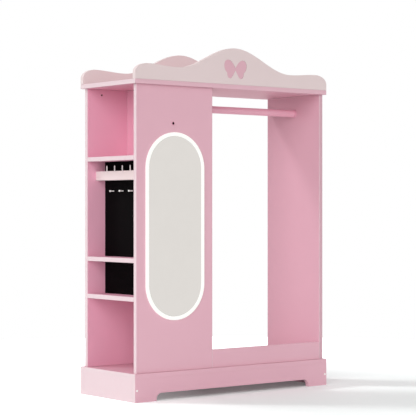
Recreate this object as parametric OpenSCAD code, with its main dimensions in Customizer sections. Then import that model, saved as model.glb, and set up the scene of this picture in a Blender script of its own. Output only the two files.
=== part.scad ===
// Dress-up storage unit for children: a hanging bay beside a column of side-facing shelves.
// The column's front carries a long mirror with a lit rim. Millimetres, +Z up. The origin is
// on the floor under the middle of the unit, the front faces -Y and the open shelves face -X.

/* [Overall] */
// Width of the base and of the top board
overall_w = 1000; // [900:10:1200]
// Depth of the base and of the top board
overall_d = 384; // [350:2:460]
// Thickness of every painted board
board_t = 18; // [16:0.5:22]
// Height of the carcass between the bottom board and the top board
carcass_h = 1128; // [1100:2:1300]

/* [Base] */
// Height of the aprons under the bottom board
apron_h = 93; // [80:1:120]
// Length of each foot beside the toe gap
foot_l = 103; // [70:1:180]
// Height of the toe gap under the front and back aprons
toe_gap_h = 31; // [26:1:42]
// Corner radius of the toe gap
toe_gap_r = 25; // [10:1:26]

/* [Carcass] */
// Set-back of the carcass from the ends of the base
side_overhang = 13; // [8:1:30]
// Set-back of the carcass from the front of the base
front_overhang = 11; // [8:1:30]
// Set-back of the column's back panel from the back of the base
back_overhang = 13; // [8:1:30]
// Width of the shelf column, front panel included
column_w = 376; // [360:2:420]
// Set-back of the right side panel from the back of the base
right_overhang = 31; // [8:1:60]
// Height of the lip in front of the hanging bay
lip_h = 73; // [50:1:120]

/* [Shelves] */
// Clear height of the bottom compartment
bottom_clear_h = 279; // [240:1:300]
// Clear height of the earring compartment
earring_clear_h = 133; // [126:1:150]
// Clear height of the necklace compartment
necklace_clear_h = 384; // [350:1:400]
// Depth of the top compartment from the column's open side
book_depth = 196; // [160:1:225]
// Depth of the two jewellery compartments from the column's open side
jewel_depth = 86.5; // [80:0.5:110]

/* [Jewellery boards] */
// Thickness of the felt-covered boards
felt_t = 9; // [6:0.5:12]
// Rows of holes for stud earrings
stud_rows = 5; // [3:1:5]
// Holes in each row
stud_columns = 9; // [5:1:9]
// Height between rows of holes
stud_row_pitch = 24.4; // [18:0.1:24.6]
// Distance between holes in a row
stud_column_pitch = 31; // [20:0.5:33]
// Diameter of a stud hole
stud_hole_d = 3; // [2:0.25:4]
// Number of necklace pegs
necklace_pegs_n = 4; // [2:1:4]
// Distance between necklace pegs
necklace_pitch = 66; // [40:1:75]
// Length of a necklace peg in front of the felt
necklace_peg_l = 22; // [14:1:30]
// Diameter of a necklace peg's stem
necklace_peg_d = 5; // [4:0.5:6]
// Diameter of a necklace peg's knob
necklace_knob_d = 8; // [7:0.5:10]
// Depth of the necklace pegs below the upper shelf
necklace_drop = 119; // [100:1:160]
// Height of the hair rail's front
rail_h = 37; // [28:1:44]
// Thickness of the hair rail's front
rail_t = 12; // [9:0.5:15]
// Thickness of the ledge behind the hair rail's front
ledge_t = 10; // [8:0.5:14]
// Gap between the hair rail and the shelf above it
rail_gap = 39; // [32:1:50]
// Distance from the column's open side to the hair rail
rail_inset = 41; // [36:0.5:42]
// Number of upright pegs on the hair rail
rail_pegs_n = 5; // [3:1:5]
// Distance between the upright pegs
rail_peg_pitch = 54.5; // [35:0.5:60]
// Diameter of an upright peg
rail_peg_d = 5; // [4:0.5:8]
// Height of an upright peg above the hair rail's front
rail_peg_rise = 23; // [12:1:26]
// Gap between the hair rail's front and its upright pegs
rail_peg_gap = 4; // [2:0.5:12]

/* [Mirror] */
// Width of the lit rim outside
mirror_w = 288; // [240:1:310]
// Height of the lit rim outside
mirror_h = 743; // [600:1:760]
// Height of the mirror's centre above the bottom board
mirror_centre_h = 572.5; // [540:0.5:580]
// Width of the lit rim
rim_w = 15; // [15:0.5:24]
// How far the lit rim stands out from the panel
rim_proud = 5; // [5:0.5:11]
// Wall of the lit rim's opal channel
rim_wall = 1.5; // [1:0.1:2]
// Thickness of the mirror glass
glass_t = 3; // [2:0.5:4]
// Thickness of the foam tape behind the glass
tape_t = 0.5; // [0.5:0.1:1]
// Distance between the lights inside the rim
led_pitch = 40; // [30:1:80]

/* [Switch] */
// Height of the light switch above the bottom board
switch_h = 979; // [970:1:1000]
// Distance of the switch from the mirror's centre line, to the left
switch_shift = 9.5; // [0:0.5:20]
// Diameter of the button
button_d = 9; // [8:0.5:9]
// Depth of the button's face inside its bezel
button_recess = 3; // [2:0.25:3]
// Travel of the button
button_travel = 1.5; // [0.8:0.1:1.5]
// Outer diameter of the bezel's flange
bezel_d = 15; // [14.5:0.5:20]

/* [Hanging rod] */
// Diameter of the rod
rod_d = 30; // [20:1:31]
// Wall of the rod's tube
rod_wall = 1.5; // [1:0.1:2.5]
// Height of the rod above the bottom board
rod_h = 1054; // [1000:0.5:1060]
// Distance of the rod from the front of the base
rod_back = 175; // [150:1:200]
// Diameter of each rod socket
socket_d = 34; // [34:1:45]
// Depth of each rod socket
socket_t = 9; // [8:0.5:18]

/* [Valances] */
// Height of a valance at its very end
valance_end_h = 26; // [15:1:35]
// Height of its rounded shoulder
shoulder_h = 63; // [50:1:80]
// Distance of the shoulder's top from the end
shoulder_x = 62; // [40:1:80]
// Height at the dip
dip_h = 55; // [42:1:62]
// Distance of the dip from the end
dip_x = 205; // [150:1:240]
// Height at the crest in the middle
crest_h = 148; // [130:1:180]
// Half the span of the butterfly ornament
wing_l = 58; // [40:1:70]
// Thickness of the ornament, which is let in flush
wing_t = 3; // [2:0.5:5]
// Height of the ornament's centre above the top board
wing_centre_h = 64; // [58:1:80]

/* [Power] */
// Diameter of the power inlet's barrel
inlet_d = 11; // [9:0.5:12]
// Diameter of the supply lead inside the column
lead_d = 4.5; // [3.5:0.25:5]
// Height of the supply lead above the middle shelf
lead_h = 11; // [10.5:0.5:16]
// Diameter of the hole for the wall strap in the back panel
strap_hole_d = 8; // [5:0.5:12]
// Distance of the strap hole from the column's open side
strap_hole_x = 70; // [40:1:120]
// Distance of the strap hole below the top board
strap_hole_drop = 23; // [15:1:60]

/* [Fasteners] */
// Diameter of the wooden dowels
dowel_d = 8; // [6:0.5:9]
// Depth of a dowel in the face of a board
dowel_face_l = 12; // [9:1:14]
// Depth of a dowel in the edge of a board
dowel_edge_l = 18; // [14:1:24]
// Diameter of the panel screws
screw_d = 5; // [4:0.1:6]
// Length of the panel screws
screw_l = 50; // [40:1:60]
// Diameter of a panel screw's head
screw_head_d = 7; // [6.6:0.1:7.8]
// Diameter of the caps over the base's screws
cap_d = 8.4; // [8.2:0.2:12]
// Diameter of the cam locks
cam_d = 14.8; // [12:0.2:16]
// Distance from a board's edge to the middle of its cam lock
cam_back = 24; // [20:1:34]
// Gap around fasteners and let-in pieces
fit = 0.1; // [0.05:0.05:0.3]

/* [Hidden] */
$fn = 64;

pink = [0.91, 0.70, 0.76];
white = [0.95, 0.94, 0.93];
felt_black = [0.06, 0.06, 0.06];
beech = [0.80, 0.64, 0.44];
zinc = [0.72, 0.73, 0.75];
silver = [0.86, 0.87, 0.87];
opal = [1.0, 1.0, 0.97];
dark = [0.10, 0.09, 0.10];

eps = 0.5;                                  // how far a cut runs past a face

// Faces of the base and the top board
left_x = -overall_w / 2;
right_x = overall_w / 2;
front_y = -overall_d / 2;
back_y = overall_d / 2;

// Faces of the carcass
column_l = left_x + side_overhang;
column_r = column_l + column_w;
face_y = front_y + front_overhang;
inner_y = face_y + board_t;
rear_y = back_y - back_overhang;
right_panel_d = back_y - right_overhang - face_y;
panel_y = rear_y - board_t;                 // front face of the back panel
divider_l = column_r - board_t;
bay_r = right_x - side_overhang - board_t;  // inner face of the right panel
inner_d = panel_y - inner_y;
middle_y = (inner_y + panel_y) / 2;

// Heights
base_z = apron_h + board_t;                 // top of the bottom board
top_z = base_z + carcass_h;                 // underside of the top board
cap_z = top_z + board_t;                    // top of the top board
lower_z = base_z + bottom_clear_h;
middle_z = lower_z + board_t + earring_clear_h;
upper_z = middle_z + board_t + necklace_clear_h;
shelf_zs = [lower_z, middle_z, upper_z];

// Planes inside the column
liner_x = column_l + book_depth;
felt_x = column_l + jewel_depth;
shelf_l = divider_l - column_l;
cleat = 12;

// Hair rail
rail_x = column_l + rail_inset;
rail_top_z = upper_z - rail_gap;
rail_z = rail_top_z - rail_h;
rail_peg_x = rail_x + rail_t + rail_peg_gap + rail_peg_d / 2;
rail_tenon = 6;
rail_screw_l = 20;
rail_screw_pitch = 110;

// Mirror
mirror_x = (column_l + column_r) / 2;
mirror_z = base_z + mirror_centre_h;
rim_gap = 0.5;                              // between the glass and the rim
glass_w = mirror_w - 2 * rim_w - 2 * rim_gap;
glass_h = mirror_h - 2 * rim_w - 2 * rim_gap;
strip_w = 10;
strip_t = 0.6;
led_size = [3.6, 2.8, 1.2];
track_w = mirror_w - rim_w;                 // stadium that the lights follow
track_h = mirror_h - rim_w;
track_r = track_w / 2;
track_side = track_h - track_w;
track_l = 2 * track_side + PI * track_w;
led_count = floor(track_l / led_pitch);

// Switch, from its front to its back
switch_x = mirror_x - switch_shift;
switch_z = base_z + switch_h;
bezel_proud = 1;
bezel_barrel_d = 13;
bezel_step = 4.5;                           // where the button's guide widens
bezel_depth = 8;
guide_gap = 0.3;                            // between the button and its guide
button_flange_d = 10.6;
button_flange_t = 1.4;
button_stem_d = 4;
stem_inside = 1.2;                          // how far the stem stands in the switch at rest
switch_body_d = 12.6;
switch_lead_d = 3;
cover_t = 2.5;
cover_edge = 5;                             // how far the cover laps the hole it closes
groove_w = 5;
groove_depth = 4;
cover_y = inner_y - cover_t;                // the floor of the cover's rebate

// Rod
rod_z = base_z + rod_h;
rod_y = front_y + rod_back;
socket_floor = 4;
socket_floor_t = 1.5;                       // what is left of the floor under the screw's head

// Power parts, all in the closed space behind the necklace board
controller = [48, 24, 90];
controller_gap = 10;                        // between the controller and the divider
power_x = divider_l - controller_gap - controller[0] / 2;
power_z = middle_z + board_t + lead_h;
led_lead_x = mirror_x + track_r;            // behind the middle of the strip's right side
controller_tab = [48, 3, 12];
controller_hole_h = 45;                     // from the controller's foot to the light lead
groove_z = mirror_z + track_h / 2 - groove_w / 2;   // behind the middle of the rim's top
led_lead_z = middle_z + board_t + controller_hole_h;
led_lead_d = 3;
led_lead_hole_d = 5;
inlet_flange_d = 17;
inlet_flange_t = 2.5;
inlet_inside = 8;
inlet_jack_d = 5.6;
inlet_jack_l = 9.5;
nut_d = 18;
nut_t = 3;
clip_w = 12;
clip_l = 8;
clip_n = 3;
clip_inset = 45;
clip_top = 5;                               // above the lead's centre line

// Small wood screws, for the sockets, the hair rail and the controller
small_screw_d = 4;
small_screw_l = 14;
small_head_d = 7.6;
small_head_h = 2.4;

// Fasteners
screw_head_h = 4;
screw_tip_l = 5;
hex_d = 3.8;
hex_depth = 2.6;
cap_t = 1;
cap_stub_d = 3;
cap_stub_l = 2;
cam_h = 12.5;
cam_slot = [9, 1.6, 2.2];
cam_channel_d = 7.4;
cam_bolt_d = 5;
cam_bolt_grip = 11;
cam_head_d = 6.6;
cam_head_h = 3;
cam_bore_d = 8;
cam_from_felt = 45;
cam_from_divider = 40;
screw_inset = 50;
lip_screw_inset = 90;
lip_dowel_inset = 20;
back_screw_inset = 100;
dowel_inset = 60;
rail_dowel_inset = 15;
valance_dowel_inset = 80;

// n places spread evenly between a and b, the first and last an inset from the ends
function spread(a, b, n, inset) = [for (i = [0 : n - 1]) a + inset + (b - a - 2 * inset) * i / (n - 1)];

// n places about a middle, a pitch apart
function centred(middle, n, pitch) = [for (i = [0 : n - 1]) middle + (i - (n - 1) / 2) * pitch];

// Points of one cubic curve, its last point left to the next curve
function curve(a, b, c, d, n) =
    [for (i = [0 : n - 1]) let (t = i / n, u = 1 - t)
        a * u * u * u + 3 * b * t * u * u + 3 * c * t * t * u + d * t * t * t];

// Turns a fastener drawn along +Z to another direction and puts it in its place
module up_at(p) { translate(p) children(); }
module down_at(p) { translate(p) rotate([180, 0, 0]) children(); }
module right_at(p) { translate(p) rotate([0, 90, 0]) children(); }
module left_at(p) { translate(p) rotate([0, -90, 0]) children(); }
module back_at(p) { translate(p) rotate([-90, 0, 0]) children(); }
module front_at(p) { translate(p) rotate([90, 0, 0]) children(); }

module slab(low, size) { translate(low) cube(size); }

// A long shape with round ends, upright
module stadium(w, h) {
    square([w, h - w], center = true);
    for (s = [-1, 1]) translate([0, s * (h - w) / 2]) circle(d = w, $fn = 96);
}

// ---- Fasteners and the holes they need. Each starts at its joint and runs along +Z ----

module panel_screw() {
    difference() {
        union() {
            cylinder(h = screw_head_h, d = screw_head_d);
            cylinder(h = screw_l - screw_tip_l, d = screw_d);
            translate([0, 0, screw_l - screw_tip_l]) cylinder(h = screw_tip_l, d1 = screw_d, d2 = 2);
        }
        translate([0, 0, -eps]) cylinder(h = hex_depth + eps, d = hex_d, $fn = 6);
    }
}

module panel_screw_hole() {
    translate([0, 0, -eps]) cylinder(h = screw_head_h + eps, d = screw_head_d + 2 * fit);
    cylinder(h = screw_l + eps, d = screw_d + 2 * fit);
}

// Its head stands on the joint and its shank runs on into the board
module small_screw(l = small_screw_l) {
    translate([0, 0, -small_head_h]) cylinder(h = small_head_h, d = small_head_d);
    cylinder(h = l, d = small_screw_d);
}
module small_screw_hole(l = small_screw_l) {
    translate([0, 0, -small_head_h - eps]) cylinder(h = small_head_h + eps, d = small_head_d + 2 * fit);
    translate([0, 0, -fit]) cylinder(h = l + 2 * fit, d = small_screw_d + 2 * fit);
}

module dowel() { translate([0, 0, -dowel_face_l]) cylinder(h = dowel_face_l + dowel_edge_l, d = dowel_d); }

module dowel_hole() {
    translate([0, 0, -dowel_face_l - fit])
        cylinder(h = dowel_face_l + dowel_edge_l + 2 * fit, d = dowel_d + 2 * fit);
}

// A cam bolt's joint plane is the face it is screwed into. The cam sits cam_back further on
module cam_bolt() {
    translate([0, 0, -cam_bolt_grip]) cylinder(h = cam_bolt_grip + cam_back, d = cam_bolt_d);
    translate([0, 0, cam_back - cam_head_h / 2]) cylinder(h = cam_head_h, d = cam_head_d);
}

module cam_bolt_hole() {
    translate([0, 0, -cam_bolt_grip - fit]) cylinder(h = cam_bolt_grip + 2 * fit, d = cam_bolt_d + 2 * fit);
    cylinder(h = cam_back, d = cam_bore_d);
}

// The cam lies across the bolt. Its slotted face is board_t / 2 from the bolt, towards +X
module cam_place() { translate([board_t / 2, 0, cam_back]) rotate([0, -90, 0]) children(); }

module cam_lock() {
    difference() {
        cam_place() cylinder(h = cam_h, d = cam_d);
        translate([0, 0, cam_back - cam_d]) cylinder(h = cam_d + cam_head_h, d = cam_channel_d);
        cam_place() for (a = [0, 90]) rotate([0, 0, a])
            translate([0, 0, (cam_slot[2] - eps) / 2]) cube(cam_slot + [0, 0, eps], center = true);
    }
}

module cam_lock_hole() {
    cam_place() translate([0, 0, -eps]) cylinder(h = cam_h + eps + fit, d = cam_d + 2 * fit);
}

// ---- Where the fasteners go. Each module repeats its child at every place of its kind ----

screw_x = [column_l + screw_inset, mirror_x, column_r - screw_inset];
divider_x = (divider_l + column_r) / 2;
right_panel_x = bay_r + board_t / 2;
face_mid_y = face_y + board_t / 2;
back_mid_y = panel_y + board_t / 2;
divider_ys = [inner_y + dowel_inset, panel_y - dowel_inset];
right_panel_ys = spread(face_y, face_y + right_panel_d, 3, screw_inset);

// The panels' own screw places, the same above and below
upright_screws = concat(
    [for (x = screw_x) [x, face_mid_y]],
    [for (x = screw_x) [x, back_mid_y]],
    [for (y = divider_ys) [divider_x, y]],
    [for (y = right_panel_ys) [right_panel_x, y]]);
lip_screws = [for (x = spread(column_r, bay_r, 3, lip_screw_inset)) [x, face_mid_y]];

module at_bottom_screws() {
    for (p = concat(upright_screws, lip_screws)) up_at([p[0], p[1], apron_h]) children();
}
module at_top_screws() { for (p = upright_screws) down_at([p[0], p[1], cap_z]) children(); }

module at_back_screws() {
    for (z = shelf_zs) for (x = [column_l + dowel_inset, divider_l - dowel_inset])
        front_at([x, rear_y, z + board_t / 2]) children();
    for (z = spread(base_z, top_z, 3, back_screw_inset)) front_at([divider_x, rear_y, z]) children();
}

base_screw_xs = [left_x + board_t / 2, right_x - board_t / 2];
module at_base_screws() {
    for (x = base_screw_xs) {
        back_at([x, front_y, apron_h / 2]) children();
        front_at([x, back_y, apron_h / 2]) children();
    }
}

// Two cams under each shelf and three on the divider's hidden side
shelf_cam_xs = [felt_x + felt_t + cam_from_felt, divider_l - cam_from_divider];
divider_cam_zs = [(lower_z + board_t + middle_z) / 2, (middle_z + board_t + upper_z) / 2,
    (upper_z + board_t + top_z) / 2];
module at_shelf_cams() {
    for (z = shelf_zs) for (x = shelf_cam_xs)
        back_at([x, inner_y, z + board_t / 2]) rotate([0, 0, 90]) children();
}
module at_divider_cams() {
    for (z = divider_cam_zs) back_at([divider_x, inner_y, z]) rotate([0, 0, 180]) children();
}

apron_mid_y = front_y + board_t / 2;
rail_dowel_zs = [toe_gap_h + rail_dowel_inset, apron_h - rail_dowel_inset];
module at_base_dowels() {
    for (x = spread(left_x, right_x, 4, dowel_inset)) for (s = [-1, 1])
        down_at([x, s * apron_mid_y, apron_h]) children();
    for (x = base_screw_xs) for (y = [front_y / 2, back_y / 2]) down_at([x, y, apron_h]) children();
    for (z = rail_dowel_zs) {
        back_at([0, front_y + board_t, z]) children();
        front_at([0, back_y - board_t, z]) children();
    }
}
module at_shelf_dowels() {
    for (z = shelf_zs) for (y = divider_ys) left_at([divider_l, y, z + board_t / 2]) children();
}
liner_mid_x = liner_x + board_t / 2;
module at_liner_dowels() {
    for (y = divider_ys) {
        up_at([liner_mid_x, y, upper_z + board_t]) children();
        down_at([liner_mid_x, y, top_z]) children();
    }
}
lip_dowel_zs = spread(base_z, base_z + lip_h, 2, lip_dowel_inset);
module at_lip_dowels() {
    for (z = lip_dowel_zs) {
        right_at([column_r, face_mid_y, z]) children();
        left_at([bay_r, face_mid_y, z]) children();
    }
}
module at_valance_dowels() {
    for (x = spread(left_x, right_x, 5, valance_dowel_inset)) for (s = [-1, 1])
        up_at([x, s * apron_mid_y, cap_z]) children();
}

// ---- Base ----

module apron_with_toe_gap() {
    gap_l = overall_w - 2 * foot_l;
    difference() {
        slab([left_x, front_y, 0], [overall_w, board_t, apron_h]);
        translate([0, front_y + board_t + eps, 0]) rotate([90, 0, 0]) linear_extrude(board_t + 2 * eps) {
            translate([-gap_l / 2, -eps]) square([gap_l, toe_gap_h - toe_gap_r + eps]);
            translate([-gap_l / 2 + toe_gap_r, -eps]) square([gap_l - 2 * toe_gap_r, toe_gap_h + eps]);
            for (s = [-1, 1]) translate([s * (gap_l / 2 - toe_gap_r), toe_gap_h - toe_gap_r])
                circle(r = toe_gap_r);
        }
    }
}

module front_apron() {
    color(pink) difference() {
        apron_with_toe_gap();
        at_base_screws() panel_screw_hole();
        at_base_dowels() dowel_hole();
    }
}

module back_apron() {
    color(pink) difference() {
        mirror([0, 1, 0]) apron_with_toe_gap();
        at_base_screws() panel_screw_hole();
        at_base_dowels() dowel_hole();
    }
}

module side_apron(x) {
    color(pink) difference() {
        slab([x, front_y + board_t, 0], [board_t, overall_d - 2 * board_t, apron_h]);
        at_base_screws() panel_screw_hole();
        at_base_dowels() dowel_hole();
    }
}
module left_apron() { side_apron(left_x); }
module right_apron() { side_apron(right_x - board_t); }

module centre_rail() {
    color(pink) difference() {
        slab([-board_t / 2, front_y + board_t, toe_gap_h],
            [board_t, overall_d - 2 * board_t, apron_h - toe_gap_h]);
        at_base_dowels() dowel_hole();
    }
}

module bottom_board() {
    color(pink) difference() {
        slab([left_x, front_y, apron_h], [overall_w, overall_d, board_t]);
        at_bottom_screws() panel_screw_hole();
        at_base_dowels() dowel_hole();
    }
}

// ---- Column ----

module mirror_panel() {
    color(pink) difference() {
        slab([column_l, face_y, base_z], [column_w, board_t, carcass_h]);
        at_bottom_screws() panel_screw_hole();
        at_top_screws() panel_screw_hole();
        at_shelf_cams() cam_bolt_hole();
        at_divider_cams() cam_bolt_hole();
        at_lip_dowels() dowel_hole();
        // Through hole for the switch, and its lead's groove down to a hole behind the rim
        back_at([switch_x, face_y - eps, switch_z])
            cylinder(h = board_t + 2 * eps, d = bezel_barrel_d + 2 * fit);
        slab([switch_x - groove_w / 2, cover_y - groove_depth, groove_z],
            [groove_w, groove_depth + eps, switch_z - groove_z]);
        wiring_cover_solid(fit, eps);
        back_at([switch_x, face_y - eps, groove_z + groove_w / 2]) cylinder(h = board_t, d = groove_w);
        // Hole for the lights' lead, in front of the controller
        back_at([led_lead_x, face_y - eps, led_lead_z])
            cylinder(h = board_t + 2 * eps, d = led_lead_hole_d);
        at_controller_screws() small_screw_hole();
    }
}

// Let into the panel's back, over the switch and its lead
module wiring_cover_solid(side_gap = 0, past = 0) {
    w = bezel_barrel_d + 2 * cover_edge + 2 * side_gap;
    foot = groove_z - cover_edge - side_gap;
    slab([switch_x - w / 2, cover_y, foot], [w, cover_t + past, switch_z + w / 2 - foot]);
}
module wiring_cover() { color(pink) wiring_cover_solid(); }

module back_panel() {
    color(pink) difference() {
        slab([column_l, panel_y, base_z], [column_w, board_t, carcass_h]);
        at_bottom_screws() panel_screw_hole();
        at_top_screws() panel_screw_hole();
        at_back_screws() panel_screw_hole();
        back_at([power_x, panel_y - eps, power_z]) cylinder(h = board_t + 2 * eps, d = inlet_d + 2 * fit);
        back_at([column_l + strap_hole_x, panel_y - eps, top_z - strap_hole_drop])
            cylinder(h = board_t + 2 * eps, d = strap_hole_d);
    }
}

module main_divider() {
    color(pink) difference() {
        slab([divider_l, inner_y, base_z], [board_t, inner_d, carcass_h]);
        at_bottom_screws() panel_screw_hole();
        at_top_screws() panel_screw_hole();
        at_back_screws() panel_screw_hole();
        at_divider_cams() { cam_bolt_hole(); cam_lock_hole(); }
        at_shelf_dowels() dowel_hole();
        at_socket_screws() small_screw_hole();
    }
}

module shelf(z) {
    color(pink) difference() {
        slab([column_l, inner_y, z], [shelf_l, inner_d, board_t]);
        at_shelf_cams() { cam_bolt_hole(); cam_lock_hole(); }
        at_shelf_dowels() dowel_hole();
        at_back_screws() panel_screw_hole();
        children();
    }
}
module upper_shelf() { shelf(upper_z) at_liner_dowels() dowel_hole(); }
module middle_shelf() { shelf(middle_z); }
module lower_shelf() { shelf(lower_z); }

module book_liner() {
    color(pink) difference() {
        slab([liner_x, inner_y, upper_z + board_t], [board_t, inner_d, top_z - upper_z - board_t]);
        at_liner_dowels() dowel_hole();
    }
}

// ---- Jewellery boards ----

necklace_z = upper_z - necklace_drop;

module necklace_board() {
    color(felt_black) difference() {
        slab([felt_x, inner_y, middle_z + board_t], [felt_t, inner_d, necklace_clear_h]);
        for (y = centred(middle_y, necklace_pegs_n, necklace_pitch))
            right_at([felt_x - eps, y, necklace_z])
                cylinder(h = felt_t + 2 * eps, d = necklace_peg_d + 2 * fit);
        at_rail_screws() small_screw_hole(rail_screw_l);
    }
}

module earring_board() {
    z_mid = (lower_z + board_t + middle_z) / 2;
    color(felt_black) difference() {
        slab([felt_x, inner_y, lower_z + board_t], [felt_t, inner_d, earring_clear_h]);
        for (y = centred(middle_y, stud_columns, stud_column_pitch))
            for (z = centred(z_mid, stud_rows, stud_row_pitch))
                right_at([felt_x - eps, y, z]) cylinder(h = felt_t + 2 * eps, d = stud_hole_d, $fn = 24);
    }
}

// Battens behind the felt boards, at the top and the foot of each
module board_cleats() {
    color(beech) for (z = [lower_z + board_t, middle_z - cleat, middle_z + board_t, upper_z - cleat])
        slab([felt_x + felt_t, inner_y + cleat, z], [cleat, inner_d - 2 * cleat, cleat]);
}

// From behind the necklace board into the back of the ledge
module at_rail_screws() {
    for (y = centred(middle_y, 3, rail_screw_pitch))
        left_at([felt_x + felt_t - small_head_h, y, rail_z + ledge_t / 2]) children();
}
module rail_screws() { color(zinc) at_rail_screws() small_screw(rail_screw_l); }

module hair_rail() {
    color(white) difference() {
        union() {
            slab([rail_x, inner_y, rail_z], [rail_t, inner_d, rail_h]);
            slab([rail_x, inner_y, rail_z], [felt_x - rail_x, inner_d, ledge_t]);
        }
        at_rail_pegs() translate([0, 0, -rail_tenon - fit]) cylinder(h = ledge_t, d = rail_peg_d + 2 * fit);
        at_rail_screws() small_screw_hole(rail_screw_l);
    }
}
module at_rail_pegs() {
    for (y = centred(middle_y, rail_pegs_n, rail_peg_pitch))
        up_at([rail_peg_x, y, rail_z + ledge_t]) children();
}

// Upright pegs with domed tops, let into the ledge
module rail_pegs() {
    straight = rail_h + rail_peg_rise - ledge_t - rail_peg_d / 2;
    color(white) at_rail_pegs() {
        translate([0, 0, -rail_tenon]) cylinder(h = rail_tenon + straight, d = rail_peg_d);
        translate([0, 0, straight]) sphere(d = rail_peg_d);
    }
}

module necklace_pegs() {
    knob_l = necklace_peg_l - necklace_knob_d / 2;
    color(white) for (y = centred(middle_y, necklace_pegs_n, necklace_pitch))
        left_at([felt_x + felt_t - fit, y, necklace_z]) {
            cylinder(h = felt_t - fit + knob_l, d = necklace_peg_d);
            translate([0, 0, felt_t - fit + knob_l]) sphere(d = necklace_knob_d);
        }
}

// ---- Hanging bay ----

module right_panel() {
    color(pink) difference() {
        slab([bay_r, face_y, base_z], [board_t, right_panel_d, carcass_h]);
        at_bottom_screws() panel_screw_hole();
        at_top_screws() panel_screw_hole();
        at_lip_dowels() dowel_hole();
        at_socket_screws() small_screw_hole();
    }
}

module front_lip() {
    color(pink) difference() {
        slab([column_r, face_y, base_z], [bay_r - column_r, board_t, lip_h]);
        at_bottom_screws() panel_screw_hole();
        at_lip_dowels() dowel_hole();
    }
}

module hanging_rod() {
    rod_l = bay_r - column_r - 2 * socket_floor - 2 * fit;
    color(pink) right_at([column_r + socket_floor + fit, rod_y, rod_z]) difference() {
        cylinder(h = rod_l, d = rod_d);
        translate([0, 0, -eps]) cylinder(h = rod_l + 2 * eps, d = rod_d - 2 * rod_wall);
    }
}

// A cup on the wall for the rod's end, with one screw through its floor
module rod_socket() {
    difference() {
        cylinder(h = socket_t, d = socket_d);
        translate([0, 0, socket_floor]) cylinder(h = socket_t, d = rod_d + 2 * fit);
    }
}
module at_socket_screws() {
    left_at([column_r + socket_floor_t, rod_y, rod_z]) children();
    right_at([bay_r - socket_floor_t, rod_y, rod_z]) children();
}
module rod_socket_left() {
    color(pink) difference() {
        right_at([column_r, rod_y, rod_z]) rod_socket();
        at_socket_screws() small_screw_hole();
    }
}
module rod_socket_right() {
    color(pink) difference() {
        left_at([bay_r, rod_y, rod_z]) rod_socket();
        at_socket_screws() small_screw_hole();
    }
}
module socket_screws() { color(zinc) at_socket_screws() small_screw(); }

// ---- Top ----

module top_board() {
    color(pink) difference() {
        slab([left_x, front_y, top_z], [overall_w, overall_d, board_t]);
        at_top_screws() panel_screw_hole();
        at_liner_dowels() dowel_hole();
        at_valance_dowels() dowel_hole();
    }
}

// Left half of a valance's outline, from its end to the middle: a rounded shoulder, a dip, a crest
function smooth_step(t) = (1 - cos(180 * t)) / 2;
valance_half = concat(
    [[0, 0]],
    [for (a = [180 : -6 : 96])
        [shoulder_x * (1 + cos(a)), valance_end_h + (shoulder_h - valance_end_h) * sin(a)]],
    [for (i = [0 : 11]) let (t = i / 12)
        [shoulder_x + (dip_x - shoulder_x) * t, shoulder_h + (dip_h - shoulder_h) * smooth_step(t)]],
    [for (i = [0 : 31]) let (t = i / 32)
        [dip_x + (overall_w / 2 - dip_x) * t, dip_h + (crest_h - dip_h) * smooth_step(t)]]);
half_n = len(valance_half);

module valance_board() {
    translate([0, front_y + board_t, cap_z]) rotate([90, 0, 0]) linear_extrude(board_t) polygon(concat(
        [for (p = valance_half) [left_x + p[0], p[1]]],
        [[0, crest_h]],
        [for (i = [half_n - 1 : -1 : 0]) [right_x - valance_half[i][0], valance_half[i][1]]]));
}

// One wing on a grid 58 wide: upper lobe, waist, lower lobe
wing_grid = 58;
wing_outline = concat(
    curve([0, 4], [10, 20], [22, 36], [37, 36], 12),
    curve([37, 36], [51, 36], [58, 27], [58, 13], 12),
    curve([58, 13], [58, 0], [52, -11], [43, -15], 10),
    curve([43, -15], [45, -27], [38, -39], [28, -39], 10),
    curve([28, -39], [18, -39], [10, -22], [0, -6], 12),
    [[0, -6]]);

module butterfly_shape(grow) {
    k = (wing_l + grow) / wing_grid;
    for (s = [0, 1]) mirror([s, 0]) scale([k, k]) polygon(wing_outline);
}

module let_in_butterfly(depth, grow) {
    front_at([0, front_y + depth, cap_z + wing_centre_h]) linear_extrude(depth) butterfly_shape(grow);
}

module front_valance() {
    color(white) difference() {
        valance_board();
        translate([0, -eps, 0]) let_in_butterfly(wing_t + eps, 2 * fit);
        at_valance_dowels() dowel_hole();
    }
}
module back_valance() {
    color(white) difference() {
        mirror([0, 1, 0]) valance_board();
        at_valance_dowels() dowel_hole();
    }
}
module butterfly() { color(pink) let_in_butterfly(wing_t, 0); }

// ---- Mirror and lights. On the panel's face, +Z of a child points out to the front ----

module on_panel() { translate([mirror_x, face_y, mirror_z]) rotate([90, 0, 0]) children(); }

module mirror_tape() { color(dark) on_panel() linear_extrude(tape_t) stadium(glass_w, glass_h); }
module mirror_glass() {
    color(silver) on_panel() translate([0, 0, tape_t]) linear_extrude(glass_t) stadium(glass_w, glass_h);
}

// An opal channel open to the panel, with the lights inside it
module light_rim() {
    inner_w = mirror_w - 2 * rim_w;
    inner_h = mirror_h - 2 * rim_w;
    color(opal) on_panel() difference() {
        linear_extrude(rim_proud) difference() {
            stadium(mirror_w, mirror_h);
            stadium(inner_w, inner_h);
        }
        translate([0, 0, -eps]) linear_extrude(rim_proud - rim_wall + eps) difference() {
            stadium(mirror_w - 2 * rim_wall, mirror_h - 2 * rim_wall);
            stadium(inner_w + 2 * rim_wall, inner_h + 2 * rim_wall);
        }
    }
}

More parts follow.
